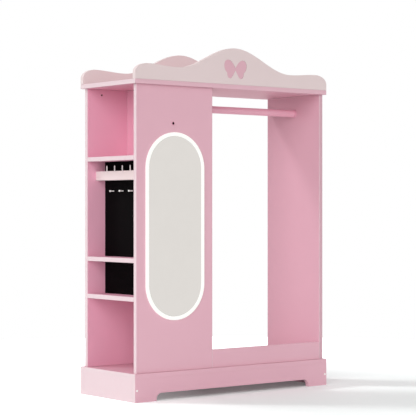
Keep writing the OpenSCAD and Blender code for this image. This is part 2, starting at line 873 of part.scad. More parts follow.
// Place and turn of a light, a distance s along the stadium from the foot of its right side
function track_place(s) =
    s < track_side ? [track_r, s - track_side / 2, 0] :
    s < track_side + PI * track_r ?
        let (a = (s - track_side) / track_r * 180 / PI)
        [track_r * cos(a), track_side / 2 + track_r * sin(a), a] :
    s < 2 * track_side + PI * track_r ?
        [-track_r, track_side / 2 - (s - track_side - PI * track_r), 180] :
        let (a = 180 + (s - 2 * track_side - PI * track_r) / track_r * 180 / PI)
        [track_r * cos(a), -track_side / 2 + track_r * sin(a), a];

module led_strip() {
    color(white) on_panel() {
        linear_extrude(strip_t) difference() {
            stadium(track_w + strip_w, track_h + strip_w);
            stadium(track_w - strip_w, track_h - strip_w);
        }
        for (i = [0 : led_count - 1]) let (p = track_place((i + 0.5) * track_l / led_count))
            translate([p[0], p[1], strip_t + led_size[2] / 2]) rotate([0, 0, p[2]])
                cube(led_size, center = true);
    }
}

// From the controller, through the panel, to the back of the strip
module led_lead() {
    color(white) back_at([led_lead_x, face_y, led_lead_z]) cylinder(h = board_t, d = led_lead_d);
}

// ---- Light switch. +Z of a child points from the panel's front to its back ----

module at_switch(depth = 0) { back_at([switch_x, face_y + depth, switch_z]) children(); }

module switch_bezel() {
    color(pink) at_switch(-bezel_proud) difference() {
        union() {
            cylinder(h = bezel_proud, d = bezel_d);
            cylinder(h = bezel_proud + bezel_depth, d = bezel_barrel_d);
        }
        translate([0, 0, -eps])
            cylinder(h = bezel_depth + 2 * eps + bezel_proud, d = button_d + 2 * guide_gap);
        translate([0, 0, bezel_step]) cylinder(h = bezel_depth + eps, d = button_flange_d + 2 * guide_gap);
    }
}

// Cap, flange behind the bezel's step, and the stem that works the switch
module switch_button() {
    cap_y = button_recess - bezel_proud;
    flange_y = bezel_step - bezel_proud + guide_gap;
    color(dark) {
        at_switch(cap_y) cylinder(h = flange_y - cap_y + button_flange_t, d = button_d);
        at_switch(flange_y) cylinder(h = button_flange_t, d = button_flange_d);
        at_switch(flange_y) cylinder(h = bezel_depth + stem_inside - flange_y, d = button_stem_d);
    }
}

// Sealed switch behind the button, with a well for the button's stem
module switch_body() {
    l = board_t - cover_t - bezel_depth - 2 * guide_gap;
    color(dark) at_switch(bezel_depth) difference() {
        cylinder(h = l, d = switch_body_d);
        translate([0, 0, -eps])
            cylinder(h = stem_inside + button_travel + guide_gap + eps, d = button_stem_d + 2 * guide_gap);
    }
}

// Down the groove behind the panel, then forward to the lights
module switch_lead() {
    lead_y = cover_y - groove_depth / 2;
    turn_z = groove_z + groove_w / 2;
    color(white) {
        up_at([switch_x, lead_y, turn_z])
            cylinder(h = switch_z - switch_body_d / 2 - turn_z, d = switch_lead_d);
        translate([switch_x, lead_y, turn_z]) sphere(d = switch_lead_d);
        front_at([switch_x, lead_y, turn_z]) cylinder(h = lead_y - face_y, d = switch_lead_d);
    }
}

// ---- Power parts ----

// A closed box on the panel's back, standing on the middle shelf, with a tab above it
controller_foot_z = middle_z + board_t;
module light_controller() {
    tab_z = controller_foot_z + controller[2];
    color(white) difference() {
        union() {
            slab([power_x - controller[0] / 2, inner_y, controller_foot_z], controller);
            slab([power_x - controller_tab[0] / 2, inner_y, tab_z], controller_tab);
        }
        at_controller_screws() translate([0, 0, -eps])
            cylinder(h = controller_tab[1] + 2 * eps, d = small_screw_d + 2 * fit);
    }
}
module at_controller_screws() {
    for (s = [-1, 1]) front_at([power_x + s * controller_tab[0] / 3, inner_y + controller_tab[1],
        controller_foot_z + controller[2] + controller_tab[2] / 2]) children();
}
module controller_screws() { color(zinc) at_controller_screws() small_screw(); }

module supply_lead() {
    start_y = inner_y + controller[1];
    color(dark) back_at([power_x, start_y, power_z])
        cylinder(h = panel_y - inlet_inside - start_y, d = lead_d);
}

module lead_clips() {
    lead_start = inner_y + controller[1];
    color(white) for (y = spread(lead_start, panel_y, clip_n, clip_inset)) difference() {
        slab([power_x - clip_w / 2, y - clip_l / 2, middle_z + board_t],
            [clip_w, clip_l, lead_h + clip_top]);
        back_at([power_x, y - clip_l, power_z]) cylinder(h = 2 * clip_l, d = lead_d + 2 * fit);
    }
}

// A threaded barrel with a flange outside; its jack opens to the back
module power_inlet() {
    color(dark) front_at([power_x, rear_y + inlet_flange_t, power_z]) difference() {
        union() {
            cylinder(h = inlet_flange_t, d = inlet_flange_d);
            cylinder(h = inlet_flange_t + board_t + inlet_inside, d = inlet_d);
        }
        translate([0, 0, -eps]) cylinder(h = inlet_jack_l + eps, d = inlet_jack_d);
    }
}
module inlet_nut() {
    color(zinc) front_at([power_x, panel_y, power_z]) difference() {
        cylinder(h = nut_t, d = nut_d, $fn = 6);
        translate([0, 0, -eps]) cylinder(h = nut_t + 2 * eps, d = inlet_d + 2 * fit);
    }
}

// ---- Fastener nodes ----

module base_screws() { color(zinc) at_base_screws() panel_screw(); }
module bottom_screws() { color(zinc) at_bottom_screws() panel_screw(); }
module top_screws() { color(zinc) at_top_screws() panel_screw(); }
module back_screws() { color(zinc) at_back_screws() panel_screw(); }
module screw_caps() {
    color(white) at_base_screws() {
        translate([0, 0, -cap_t]) cylinder(h = cap_t, d = cap_d);
        cylinder(h = cap_stub_l, d = cap_stub_d);
    }
}
module cam_locks() {
    color(zinc) {
        at_shelf_cams() cam_lock();
        at_divider_cams() cam_lock();
    }
}
module cam_bolts() {
    color(zinc) {
        at_shelf_cams() cam_bolt();
        at_divider_cams() cam_bolt();
    }
}
module base_dowels() { color(beech) at_base_dowels() dowel(); }
module shelf_dowels() { color(beech) at_shelf_dowels() dowel(); }
module liner_dowels() { color(beech) at_liner_dowels() dowel(); }
module lip_dowels() { color(beech) at_lip_dowels() dowel(); }
module valance_dowels() { color(beech) at_valance_dowels() dowel(); }

front_apron();
back_apron();
left_apron();
right_apron();
centre_rail();
bottom_board();
mirror_panel();
back_panel();
main_divider();
upper_shelf();
middle_shelf();
lower_shelf();
book_liner();
necklace_board();
earring_board();
board_cleats();
hair_rail();
rail_pegs();
rail_screws();
necklace_pegs();
wiring_cover();
right_panel();
front_lip();
top_board();
front_valance();
back_valance();
butterfly();
hanging_rod();
rod_socket_left();
rod_socket_right();
socket_screws();
mirror_glass();
mirror_tape();
light_rim();
led_strip();
led_lead();
switch_bezel();
switch_button();
switch_body();
switch_lead();
light_controller();
controller_screws();
supply_lead();
lead_clips();
power_inlet();
inlet_nut();
base_screws();
screw_caps();
bottom_screws();
top_screws();
back_screws();
cam_locks();
cam_bolts();
base_dowels();
shelf_dowels();
liner_dowels();
lip_dowels();
valance_dowels();
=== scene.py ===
# %% [markdown]
# # A dress-up unit in painted board
#
# This lesson dresses a plain model of a children's dress-up unit. The model comes from CAD, so
# every board already has its true size and place. Here the boards get their softened edges and
# their paint, the mirror gets its lit rim, and the unit gets a floor, lamps and a camera.

import math
import random

import bmesh
import bpy
from mathutils import Matrix, Vector


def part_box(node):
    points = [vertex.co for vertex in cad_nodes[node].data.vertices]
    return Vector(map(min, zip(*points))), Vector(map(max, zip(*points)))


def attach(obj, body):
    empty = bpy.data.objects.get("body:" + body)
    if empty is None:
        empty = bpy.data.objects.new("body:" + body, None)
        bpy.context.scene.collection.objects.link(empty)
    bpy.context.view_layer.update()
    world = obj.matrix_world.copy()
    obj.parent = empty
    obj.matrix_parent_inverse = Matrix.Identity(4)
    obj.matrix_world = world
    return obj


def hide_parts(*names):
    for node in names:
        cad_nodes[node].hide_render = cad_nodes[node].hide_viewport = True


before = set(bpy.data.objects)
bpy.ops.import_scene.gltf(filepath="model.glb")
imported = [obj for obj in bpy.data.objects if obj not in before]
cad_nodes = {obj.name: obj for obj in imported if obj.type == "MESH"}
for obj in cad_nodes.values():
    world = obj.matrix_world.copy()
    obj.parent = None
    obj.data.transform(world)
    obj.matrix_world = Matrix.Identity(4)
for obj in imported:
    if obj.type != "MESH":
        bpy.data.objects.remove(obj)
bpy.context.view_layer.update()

# %% [markdown]
# ## A short hand for shader sums
#
# Real paint is never one flat colour, so its colour and gloss are worked out from noise. In the
# shader editor that takes many small Math nodes. A class that wraps one socket lets Python write
# them as sums, which are far easier to read.

# %% Wires
class Wire:
    """One socket's output, ready for sums."""

    def __init__(self, nodes, socket):
        self.nodes = nodes
        self.socket = socket

    def sum(self, operation, first, second):
        return self.nodes.add("ShaderNodeMath", {"operation": operation}, {0: first, 1: second})

    def __add__(self, other):
        return self.sum("ADD", self, other)

    def __radd__(self, other):
        return self.sum("ADD", other, self)

    def __sub__(self, other):
        return self.sum("SUBTRACT", self, other)

    def __rsub__(self, other):
        return self.sum("SUBTRACT", other, self)

    def __mul__(self, other):
        return self.sum("MULTIPLY", self, other)

    def __rmul__(self, other):
        return self.sum("MULTIPLY", other, self)


print("sums that a wire can do:", [name for name in vars(Wire) if name.startswith("__r")])

# %% [markdown]
# Every other kind of node comes from one method, which sets the node's own settings before it
# fills its sockets, because a setting can change which sockets there are. The world is built with
# it too.

# %% Nodes
class Nodes:
    """A node tree to which nodes are added one by one."""

    def __init__(self, tree):
        self.tree = tree

    def add(self, kind, settings=None, sockets=None, out=0):
        """One node of a kind: its settings first, then the values or wires of its sockets."""
        node = self.tree.nodes.new(kind)
        for setting, value in (settings or {}).items():
            if setting == "stops":
                self.set_stops(node.color_ramp, value)
            else:
                setattr(node, setting, value)
        self.feed(node, sockets or {})
        return Wire(self, node.outputs[out])

    def set_stops(self, ramp, stops):
        while len(ramp.elements) < len(stops):
            ramp.elements.new(1.0)
        for element, (place, value) in zip(ramp.elements, stops):
            element.position = place
            element.color = (value, value, value, 1.0)

    def feed(self, node, sockets):
        for name, value in sockets.items():
            if isinstance(value, Wire):
                self.tree.links.new(value.socket, node.inputs[name])
            else:
                node.inputs[name].default_value = value


print("node helpers:", Wire.__name__, Nodes.__name__)

# %% [markdown]
# ## A material with its own patterns
#
# A finish is a node tree that ends in a material's shader. It knows the few things that every
# stuff here needs: places on the object, noise at a true scale, a ramp from one value to another,
# a mix of two colours, and a bump whose depth is a real one in metres.

# %% Finishes
# A Mix node has a set of sockets for each type. These are the ones for colours.
MIX_FIRST, MIX_SECOND, MIX_RESULT = 6, 7, 2


class Finish(Nodes):
    """A material and the nodes that its surface needs."""

    def __init__(self, name):
        self.material = bpy.data.materials.new(name)
        self.material.use_nodes = True
        super().__init__(self.material.node_tree)
        self.shader = self.tree.nodes["Principled BSDF"]

    def surface(self, **sockets):
        self.feed(self.shader, {name.replace("_", " "): value for name, value in sockets.items()})
        return self.material

    def place(self, stretch=(1.0, 1.0, 1.0)):
        """Places on the object, in metres, stretched along an axis for grain."""
        where = self.add("ShaderNodeTexCoord", out="Object")
        return self.add("ShaderNodeMapping", None, {"Vector": where, "Scale": stretch})

    def stored(self, attribute):
        """A number that is stored on the mesh."""
        return self.add("ShaderNodeAttribute", {"attribute_name": attribute}, out="Fac")

    def noise(self, where, scale, detail=3.0, rough=0.5):
        return self.add("ShaderNodeTexNoise", None,
                        {"Vector": where, "Scale": scale, "Detail": detail, "Roughness": rough})

    def steps(self, value, stops):
        return self.add("ShaderNodeValToRGB", {"stops": stops}, {"Fac": value})

    def mix(self, factor, first, second):
        return self.add("ShaderNodeMix", {"data_type": "RGBA"},
                        {"Factor": factor, MIX_FIRST: first, MIX_SECOND: second},
                        out=MIX_RESULT)

    def bump(self, height, depth, strength=1.0, under=None):
        sockets = {"Height": height, "Distance": depth, "Strength": strength}
        if under is not None:
            sockets["Normal"] = under
        return self.add("ShaderNodeBump", None, sockets)


print("colour sockets of a Mix node:", MIX_FIRST, MIX_SECOND, "and", MIX_RESULT)

# %% [markdown]
# Colours are known as screens number them, from 0 to 255, but shaders count light, where half the
# number is far less than half the light. The standard curve turns one into the other.

# %% Colours
def srgb(red, green, blue):
    """A screen's colour, 0 to 255, as the linear colour that shaders take."""
    def line(value):
        value = value / 255
        return value / 12.92 if value <= 0.04045 else ((value + 0.055) / 1.055) ** 2.4
    return (line(red), line(green), line(blue), 1.0)


print("pure white is", srgb(255, 255, 255))

# %% [markdown]
# ## Satin paint on fibreboard
#
# The boards are fibreboard with a sprayed satin paint. Close up such paint has three scales:
# slow clouds where the coat is thicker, low waves where it flowed before it dried, and the fine
# dimples called orange peel. An image could show them, but noise needs no file and fits a board
# of any size. The scales below count patterns along a metre.
#
# Five attributes on a board's mesh steer the paint. board_shift moves the pattern, so that no two
# boards share one. cut_edge makes the narrow faces paler and duller; at the left
# end, which faces the key lamp, it goes almost to white, and that part is a painted highlight.
# faded makes a whole board paler, a painted highlight for the left apron. tone
# makes a board deeper, painted shade for the right panel, apart from the face that looks right.
# inside gives the faces that look into the column a stronger pink, painted bounce light.

# %% Paint for boards
def board_paint(name, body, cloud, pale, deep, inner, roughness):
    paint = Finish(name)
    shift, cut, faded, tone, inside = [
        paint.stored(label) for label in ("board_shift", "cut_edge", "faded", "tone", "inside")]
    where = paint.add("ShaderNodeTexCoord", out="Object")
    moved = paint.add("ShaderNodeVectorMath", {"operation": "ADD"}, {0: where, 1: shift})
    clouds = paint.noise(moved, scale=3.0, detail=4.0, rough=0.55)
    peel = paint.noise(moved, scale=620.0, detail=2.0, rough=0.45)
    waves = paint.noise(moved, scale=55.0, detail=2.0)
    specks = paint.steps(paint.noise(moved, scale=1500.0, detail=1.0), [(0.70, 0.0), (0.78, 1.0)])
    base = paint.mix(clouds * 1.3 - 0.15, body, cloud)
    # Painted shade: a deeper pink where the board should stand in shade
    base = paint.mix(tone, base, deep)
    # Painted bounce light: a stronger pink on faces that look into the column
    base = paint.mix(inside * (0.85 + clouds * 0.15), base, inner)
    # Paler, duller narrow faces; at the left end, which faces the key lamp, a painted highlight
    base = paint.mix(cut * (0.70 + waves * 0.3), base, pale)
    # A painted highlight over a whole board that faces the key lamp
    base = paint.mix(faded * (0.80 + waves * 0.2), base, pale)
    base = paint.mix(specks * 0.10, base, pale)
    dimples = paint.bump(peel, 0.00006, 0.5)
    flowed = paint.bump(waves, 0.0006, 0.16, dimples)
    return paint.surface(Base_Color=base, Roughness=roughness + clouds * 0.10 + cut * 0.10,
                         Normal=flowed, Specular_IOR_Level=0.3)


# pale also paints the highlight on faces towards the key lamp, deep paints shade, inner paints bounce
# pink
pink = board_paint("pink_satin_paint", body=srgb(222, 173, 187), cloud=srgb(226, 179, 192),
                   pale=srgb(221, 204, 207), deep=srgb(200, 154, 168), inner=srgb(232, 171, 192),
                   roughness=0.42)
white = board_paint("white_satin_paint", body=srgb(224, 206, 206), cloud=srgb(228, 210, 210),
                    pale=srgb(222, 206, 206), deep=srgb(208, 188, 190), inner=srgb(222, 206, 206),
                    roughness=0.42)
wing_pink = board_paint("butterfly_paint", body=srgb(217, 170, 182), cloud=srgb(221, 176, 188),
                        pale=srgb(226, 186, 196), deep=srgb(205, 158, 172),
                        inner=srgb(217, 170, 182), roughness=0.46)
print("paints:", pink.name, white.name, wing_pink.name)

# %% [markdown]
# ## Felt and plastic
#
# Two boards inside the column are covered in black felt. It has loose fibres a fraction of a
# millimetre thick, small tufts, and naps that were brushed one way or the other. Modelled fibres
# would be too fine to see from here, so noise and bump do their work. Pegs, caps and leads are
# plastic with a very fine mould grain.

# %% Felt and moulded plastic
def black_felt():
    felt = Finish("black_felt")
    where = felt.place()
    fibres = felt.noise(where, scale=1400.0, detail=4.0, rough=0.7)
    tufts = felt.noise(where, scale=160.0, rough=0.6)
    naps = felt.noise(where, scale=9.0, detail=2.0)
    dark = felt.mix(naps, srgb(5, 4, 5), srgb(9, 7, 8))
    lint = felt.steps(fibres, [(0.60, 0.0), (0.80, 1.0)])
    base = felt.mix(lint * 0.2 + tufts * 0.04, dark, srgb(34, 30, 31))
    nap = felt.bump(tufts, 0.0007, 0.5, felt.bump(fibres, 0.0004, 0.7))
    return felt.surface(Base_Color=base, Roughness=0.92 + tufts * 0.08, Normal=nap,
                        Specular_IOR_Level=0.08)


def moulded(name, body, cloud, roughness, gloss=0.5):
    plastic = Finish(name)
    where = plastic.place()
    flow = plastic.noise(where, scale=45.0)
    grain = plastic.noise(where, scale=2200.0, detail=2.0)
    return plastic.surface(Base_Color=plastic.mix(flow, body, cloud),
                           Roughness=roughness + flow * 0.10,
                           Normal=plastic.bump(grain, 0.00003, 0.5), Specular_IOR_Level=gloss)


felt = black_felt()
white_plastic = moulded("white_plastic", srgb(246, 243, 240), srgb(251, 249, 246), 0.30)
dark_plastic = moulded("dark_plastic", srgb(26, 23, 25), srgb(36, 32, 34), 0.42)
button_and_bore_shade = moulded("button_and_bore_shade", srgb(22, 6, 10), srgb(30, 9, 14), 0.50, 0.12)
pink_plastic = moulded("pink_plastic", srgb(226, 160, 182), srgb(232, 170, 190), 0.30)
black_rubber = moulded("black_rubber", srgb(24, 23, 23), srgb(36, 35, 34), 0.66)
glass_edge = moulded("ground_glass_edge", srgb(176, 190, 184), srgb(196, 207, 202), 0.35)
print("felt and plastics done")

# %% [markdown]
# ## Metal
#
# The steel rod has a powder coat with dimples about one millimetre across, and the screws are
# zinc plated. Zinc has a cloudy bloom and fine lines from handling. Both are noise again, and the
# noise of the lines is stretched along one axis.

# %% Powder coat and zinc
def powder_coat():
    coat = Finish("pink_powder_coat")
    where = coat.place()
    dimples = coat.noise(where, scale=850.0, detail=2.0, rough=0.4)
    flow = coat.noise(where, scale=30.0)
    base = coat.mix(flow, srgb(240, 182, 200), srgb(243, 188, 205))
    return coat.surface(Base_Color=base, Roughness=0.28 + flow * 0.10,
                        Normal=coat.bump(dimples, 0.00014, 0.5))


def zinc_plate():
    zinc = Finish("zinc_plate")
    where = zinc.place((1.0, 1.0, 0.12))
    brushed = zinc.noise(where, scale=900.0, rough=0.6)
    bloom = zinc.noise(zinc.place(), scale=120.0, rough=0.6)
    base = zinc.mix(bloom, srgb(176, 178, 182), srgb(206, 207, 208))
    return zinc.surface(Base_Color=base, Metallic=1.0, Roughness=0.26 + brushed * 0.22,
                        Normal=zinc.bump(brushed, 0.00004, 0.5))


rod_coat = powder_coat()
zinc = zinc_plate()
print("metals:", rod_coat.name, zinc.name)

# %% [markdown]
# ## Bare wood
#
# Dowels are bare beech, whose grain runs along them with short dark flecks. Where a board is cut,
# it shows bare fibreboard, pressed in layers. A Wave texture would give even rings and bands, but
# these are uneven, so both are noise that is stretched or squeezed along an axis.

# %% Beech and fibreboard
def bare_beech():
    beech = Finish("bare_beech")
    grain = beech.noise(beech.place((1.0, 0.08, 1.0)), scale=420.0, detail=4.0, rough=0.6)
    flecks = beech.steps(beech.noise(beech.place((1.0, 0.2, 1.0)), scale=1300.0, detail=2.0),
                         [(0.62, 0.0), (0.72, 1.0)])
    base = beech.mix(grain, srgb(206, 168, 122), srgb(226, 195, 152))
    base = beech.mix(flecks * 0.4, base, srgb(170, 122, 78))
    return beech.surface(Base_Color=base, Roughness=0.55 + grain * 0.2,
                         Normal=beech.bump(grain, 0.0001, 0.5))


def bare_fibreboard():
    fibreboard = Finish("bare_fibreboard")
    where = fibreboard.place()
    fibres = fibreboard.noise(where, scale=2600.0, rough=0.6)
    layers = fibreboard.noise(fibreboard.place((0.3, 0.3, 2.0)), scale=300.0, detail=2.0)
    base = fibreboard.mix(fibres * 0.7 + layers * 0.3, srgb(112, 84, 66), srgb(150, 120, 96))
    return fibreboard.surface(Base_Color=base, Roughness=0.85 + fibres * 0.1,
                              Normal=fibreboard.bump(fibres, 0.0003, 0.6))


beech = bare_beech()
raw_board = bare_fibreboard()
print("woods:", beech.name, raw_board.name)

# %% [markdown]
# ## Silvered glass
#
# The mirror could be clear glass over a metal sheet, but light that passes through glass and back
# is slow to render and looks the same. So the pane is one metal surface, as smooth as a mirror,
# with a breath of haze.

# %% Silvering
def silvered():
    mirror = Finish("silvered_glass")
    haze = mirror.noise(mirror.place(), scale=14.0, detail=4.0, rough=0.6)
    tint = mirror.mix(haze, srgb(236, 236, 234), srgb(240, 240, 238))
    return mirror.surface(Base_Color=tint, Metallic=1.0, Roughness=0.012 + haze * 0.012)


silver = silvered()
print("mirror:", silver.name)

# %% [markdown]
# ## Boards with softened edges
#
# A painted board is never sharp: its edges are sanded to a radius of a millimetre or so, and
# that radius catches the light as a thin bright line. The outline of a board is drawn flat,
# pulled out to its thickness, and its sharp edges are then bevelled. Curved outlines keep their
# shape, because only edges that turn by more than 30 degrees are bevelled. Blender makes the
# normals of a mesh agree, but on a flat box it may choose inwards. A solid whose faces look inwards
# has a negative volume, so that is what tells when to turn them round.

# %% Slabs with bevelled edges
# Width of a sanded edge, and of one that lies flush with its neighbour
EDGE = 0.0014
SEAM = 0.0006
# An edge that turns by more than this is sanded, in this many strips
SHARP_ANGLE = math.radians(30)
EDGE_STRIPS = 3


def plane_matrix(axis):
    """Turns a flat outline so that its thickness runs along X, Y or Z."""
    if axis == "X":
        return Matrix(((0, 0, 1), (1, 0, 0), (0, 1, 0))).to_4x4()
    if axis == "Y":
        return Matrix(((1, 0, 0), (0, 0, -1), (0, 1, 0))).to_4x4()
    return Matrix.Identity(4)


def face_outwards(bm):
    """Makes all the faces of a closed mesh look out of it."""
    bmesh.ops.recalc_face_normals(bm, faces=bm.faces[:])
    if bm.calc_volume(signed=True) < 0:
        bmesh.ops.reverse_faces(bm, faces=bm.faces[:])


def slab_mesh(outline, low, high, axis, edge=EDGE):
    """A bevelled solid: outline points in the board's plane, low to high along its axis."""
    bm = bmesh.new()
    first, last = (-high, -low) if axis == "Y" else (low, high)
    face = bm.faces.new([bm.verts.new((u, v, first)) for u, v in outline])
    grown = bmesh.ops.extrude_face_region(bm, geom=[face])
    top = [item for item in grown["geom"] if isinstance(item, bmesh.types.BMVert)]
    bmesh.ops.translate(bm, verts=top, vec=(0, 0, last - first))
    bmesh.ops.recalc_face_normals(bm, faces=bm.faces[:])
    sharp = [item for item in bm.edges if item.calc_face_angle(0.0) > SHARP_ANGLE]
    bmesh.ops.bevel(bm, geom=sharp, offset=edge, offset_type="OFFSET", segments=EDGE_STRIPS,
                    profile=0.5, affect="EDGES", clamp_overlap=True)
    bm.transform(plane_matrix(axis))
    face_outwards(bm)
    return bm


print("sanded edges of", EDGE * 1000, "mm, flush ones of", SEAM * 1000, "mm")

# %% [markdown]
# ## Shown pieces
#
# A worked mesh becomes a piece that rides on its body in the model and takes the place of the CAD
# node that it dresses. A board's size always comes from its CAD node, so the two agree.

# %% Pieces in place of CAD nodes
# Faces that meet at more than this are shaded as a crease
CREASE_ANGLE = math.radians(40)


def finish_piece(name, bm, material, body="unit", replaced=()):
    """Turns a worked mesh into a shown piece that rides on its body."""
    mesh = bpy.data.meshes.new(name)
    bm.to_mesh(mesh)
    bm.free()
    mesh.materials.append(material)
    for polygon in mesh.polygons:
        polygon.use_smooth = True
    mesh.set_sharp_from_angle(angle=CREASE_ANGLE)
    piece = bpy.data.objects.new(name, mesh)
    bpy.context.scene.collection.objects.link(piece)
    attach(piece, body)
    if replaced:
        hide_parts(*replaced)
    return piece


def rectangle(node, axis):
    """The outline, and the lowest and highest place along the axis, of a CAD board."""
    low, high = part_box(node)
    across = "XYZ".index(axis)
    u, v = [index for index in range(3) if index != across]
    outline = [(low[u], low[v]), (high[u], low[v]), (high[u], high[v]), (low[u], high[v])]
    return outline, low[across], high[across]


print("outline of the bottom board:", len(rectangle("bottom_board", "Z")[0]), "points")

# %% [markdown]
# ## Holes
#
# Some boards have holes that show: for screws, the switch, the power inlet and a strap to the
# wall. Their places could be typed in again, but the CAD fasteners already say where they are.
# Each loose part of a fastener node is one screw, so its box gives the hole's place.

# %% Find fasteners
# Points nearer than this are one point
SAME_POINT = 1e-6


def loose_parts(node):
    """The boxes of a CAD node's separate solids, as (lowest corner, highest corner)."""
    bm = bmesh.new()
    bm.from_mesh(cad_nodes[node].data)
    bmesh.ops.remove_doubles(bm, verts=bm.verts, dist=SAME_POINT)
    seen = set()
    boxes = []
    for start in bm.verts:
        if start in seen:
            continue
        group = [start]
        seen.add(start)
        for vert in group:
            for link in vert.link_edges:
                other = link.other_vert(vert)
                if other not in seen:
                    seen.add(other)
                    group.append(other)
        low = Vector([min(vert.co[i] for vert in group) for i in range(3)])
        high = Vector([max(vert.co[i] for vert in group) for i in range(3)])
        boxes.append((low, high))
    bm.free()
    return boxes


print("screws on top:", len(loose_parts("top_screws")))

# %% [markdown]
# A hole needs a solid of its own shape that is taken away from the board. A cutter starts a
# little outside its board, so that no face of the two lies on the other.

# %% Cutters
# How far a cutter starts outside, how long one through a board is, and the gap round a fastener
REACH = 0.001
THROUGH = 0.020
GAP = 0.0001
DRILL_SIDES = 48


def drill(centre, radius, length, axis):
    """A round cutter that starts at centre and runs along +axis."""
    bm = bmesh.new()
    bmesh.ops.create_cone(bm, cap_ends=True, segments=DRILL_SIDES, radius1=radius,
                          radius2=radius, depth=length)
    bmesh.ops.translate(bm, verts=bm.verts, vec=(0, 0, length / 2))
    turn = {"X": Matrix.Rotation(math.radians(90), 4, "Y"),
            "Y": Matrix.Rotation(math.radians(-90), 4, "X"), "Z": Matrix.Identity(4)}[axis]
    bm.transform(Matrix.Translation(centre) @ turn)
    return bm


def block(low, high):
    """A square cutter between two corners."""
    bm = bmesh.new()
    bmesh.ops.create_cube(bm, size=1.0)
    bm.transform(Matrix.Translation((low + high) / 2) @ Matrix.Diagonal((*(high - low), 1.0)))
    return bm


trial = block(Vector((0.0, 0.0, 0.0)), Vector((REACH, REACH, REACH)))
print("a square cutter has", len(trial.faces), "faces, a round one", DRILL_SIDES + 2)
trial.free()

# %% [markdown]
# The cut is a boolean, the right tool for a clean round edge in a flat face. The modifier is
# applied at once, because what comes next, the marks, looks at the faces that the cut made. Those
# get the finish of the cutter, so a hole shows bare fibreboard.

# %% Cut holes
def cut_out(piece, cutter, lining=None):
    """Cuts a worked mesh out of a piece. The cut's walls take the lining's finish."""
    mesh = bpy.data.meshes.new("cutter")
    cutter.to_mesh(mesh)
    cutter.free()
    mesh.materials.append(lining or piece.data.materials[0])
    tool = bpy.data.objects.new("cutter", mesh)
    bpy.context.scene.collection.objects.link(tool)
    modifier = piece.modifiers.new("cut", "BOOLEAN")
    modifier.operation = "DIFFERENCE"
    modifier.solver = "EXACT"
    modifier.material_mode = "TRANSFER"
    modifier.object = tool
    bpy.context.view_layer.update()
    result = piece.evaluated_get(bpy.context.evaluated_depsgraph_get())
    cut = bpy.data.meshes.new_from_object(result)
    piece.modifiers.remove(modifier)
    old, piece.data = piece.data, cut
    cut.name = piece.name
    bpy.data.meshes.remove(old)
    bpy.data.objects.remove(tool)
    bpy.data.meshes.remove(mesh)


print("a cutter through a board is", THROUGH * 1000, "mm long, with", REACH * 1000, "mm outside")

# %% [markdown]
# ## Marks on a board
#
# The paint reads its five attributes from the mesh, so each board gets them when it is made. They
# could be painted by hand, but a face's direction already tells which side of the board it is.

# %% Marks
chance = random.Random(7)
# How far a board's pattern may be shifted, in metres
SHIFT = 8.0
# How far a board's left end reaches in from its outermost point
LEFT_END = 0.05
# A face looks along an axis when its normal's share along it is at least the first of these,
# and it belongs to the left end when it leans left by the second
ALONG = 0.99
LEANING = 0.6


def store(mesh, name, values, domain="FACE"):
    mesh.attributes.new(name, "FLOAT", domain)
    mesh.attributes[name].data.foreach_set("value", values)


def looks(polygon, side):
    """Whether a face looks along a signed axis, such as -Y."""
    sign, axis = side
    share = polygon.normal["XYZ".index(axis)]
    return (share if sign == "+" else -share) > ALONG


def mark_board(piece, axis, highlight_share=0.0, deep=0.0, rim=0.2, inside=()):
    """Stores a board's own shift, its paler edges, and where its faces get painted highlight,
    painted shade and painted bounce pink.
    """
    mesh = piece.data
    count = len(mesh.polygons)
    across = "XYZ".index(axis)
    left = min(vert.co.x for vert in mesh.vertices) + LEFT_END
    cuts = []
    for polygon in mesh.polygons:
        narrow = abs(polygon.normal[across]) < ALONG
        left_end = polygon.normal.x < -LEANING and polygon.center.x < left
        # A left end faces the key lamp, and its full paleness is a painted highlight; other narrow
        # faces get rim, a paler edge
        cuts.append((1.0 if left_end else rim) if narrow else 0.0)
    store(mesh, "cut_edge", cuts)
    store(mesh, "board_shift", [chance.uniform(-SHIFT, SHIFT)] * count)
    store(mesh, "faded", [highlight_share] * count)
    # Painted shade on every face but the one that looks right
    store(mesh, "tone", [0.0 if looks(polygon, "+X") else deep for polygon in mesh.polygons])
    # Painted bounce pink on the faces that look into the column
    store(mesh, "inside", [1.0 if any(looks(polygon, side) for side in inside) else 0.0
                           for polygon in mesh.polygons])


print("a board's pattern is shifted by up to", SHIFT, "m")

# %% [markdown]
# ## A board
#
# A board is a slab with its holes and its marks. Smooth shading would bend the light on its wide
# faces near the small bevels. More bevels would cure that too, but a Weighted Normal modifier
# lets the wide faces decide, and adds no faces.

# %% Make a board
# The most that a face's size may count when normals are averaged
FLAT_WEIGHT = 100


def flat_faces(piece):
    """Keeps wide faces flat in shading where they meet small bevels."""
    modifier = piece.modifiers.new("flat_faces", "WEIGHTED_NORMAL")
    modifier.keep_sharp = True
    modifier.weight = FLAT_WEIGHT


def board(node, axis, paint=pink, outline=None, cutters=(), highlight_share=0.0,
          deep=0.0, rim=0.2, edge=EDGE, inside=()):
    """A softened board in place of the CAD node of the same name.

    cutters are worked meshes to take away. rim is the paleness of its narrow faces, highlight_share
    a painted highlight, deep painted shade, and inside the sides that get painted bounce pink.
    """
    flat, low, high = rectangle(node, axis)
    bm = slab_mesh(outline or flat, low, high, axis, edge)
    piece = finish_piece(node + "_board", bm, paint, replaced=(node,))
    for cutter in cutters:
        cut_out(piece, cutter, raw_board)
    mark_board(piece, axis, highlight_share, deep, rim, inside)
    flat_faces(piece)
    return piece


# %% [markdown]
# ## The base
#
# The base is a frame of aprons under a full-size bottom board. The front and back aprons have a
# toe gap with round upper corners. It could be cut out with a boolean, but one closed outline
# with two quarter circles gives the same shape with cleaner faces.

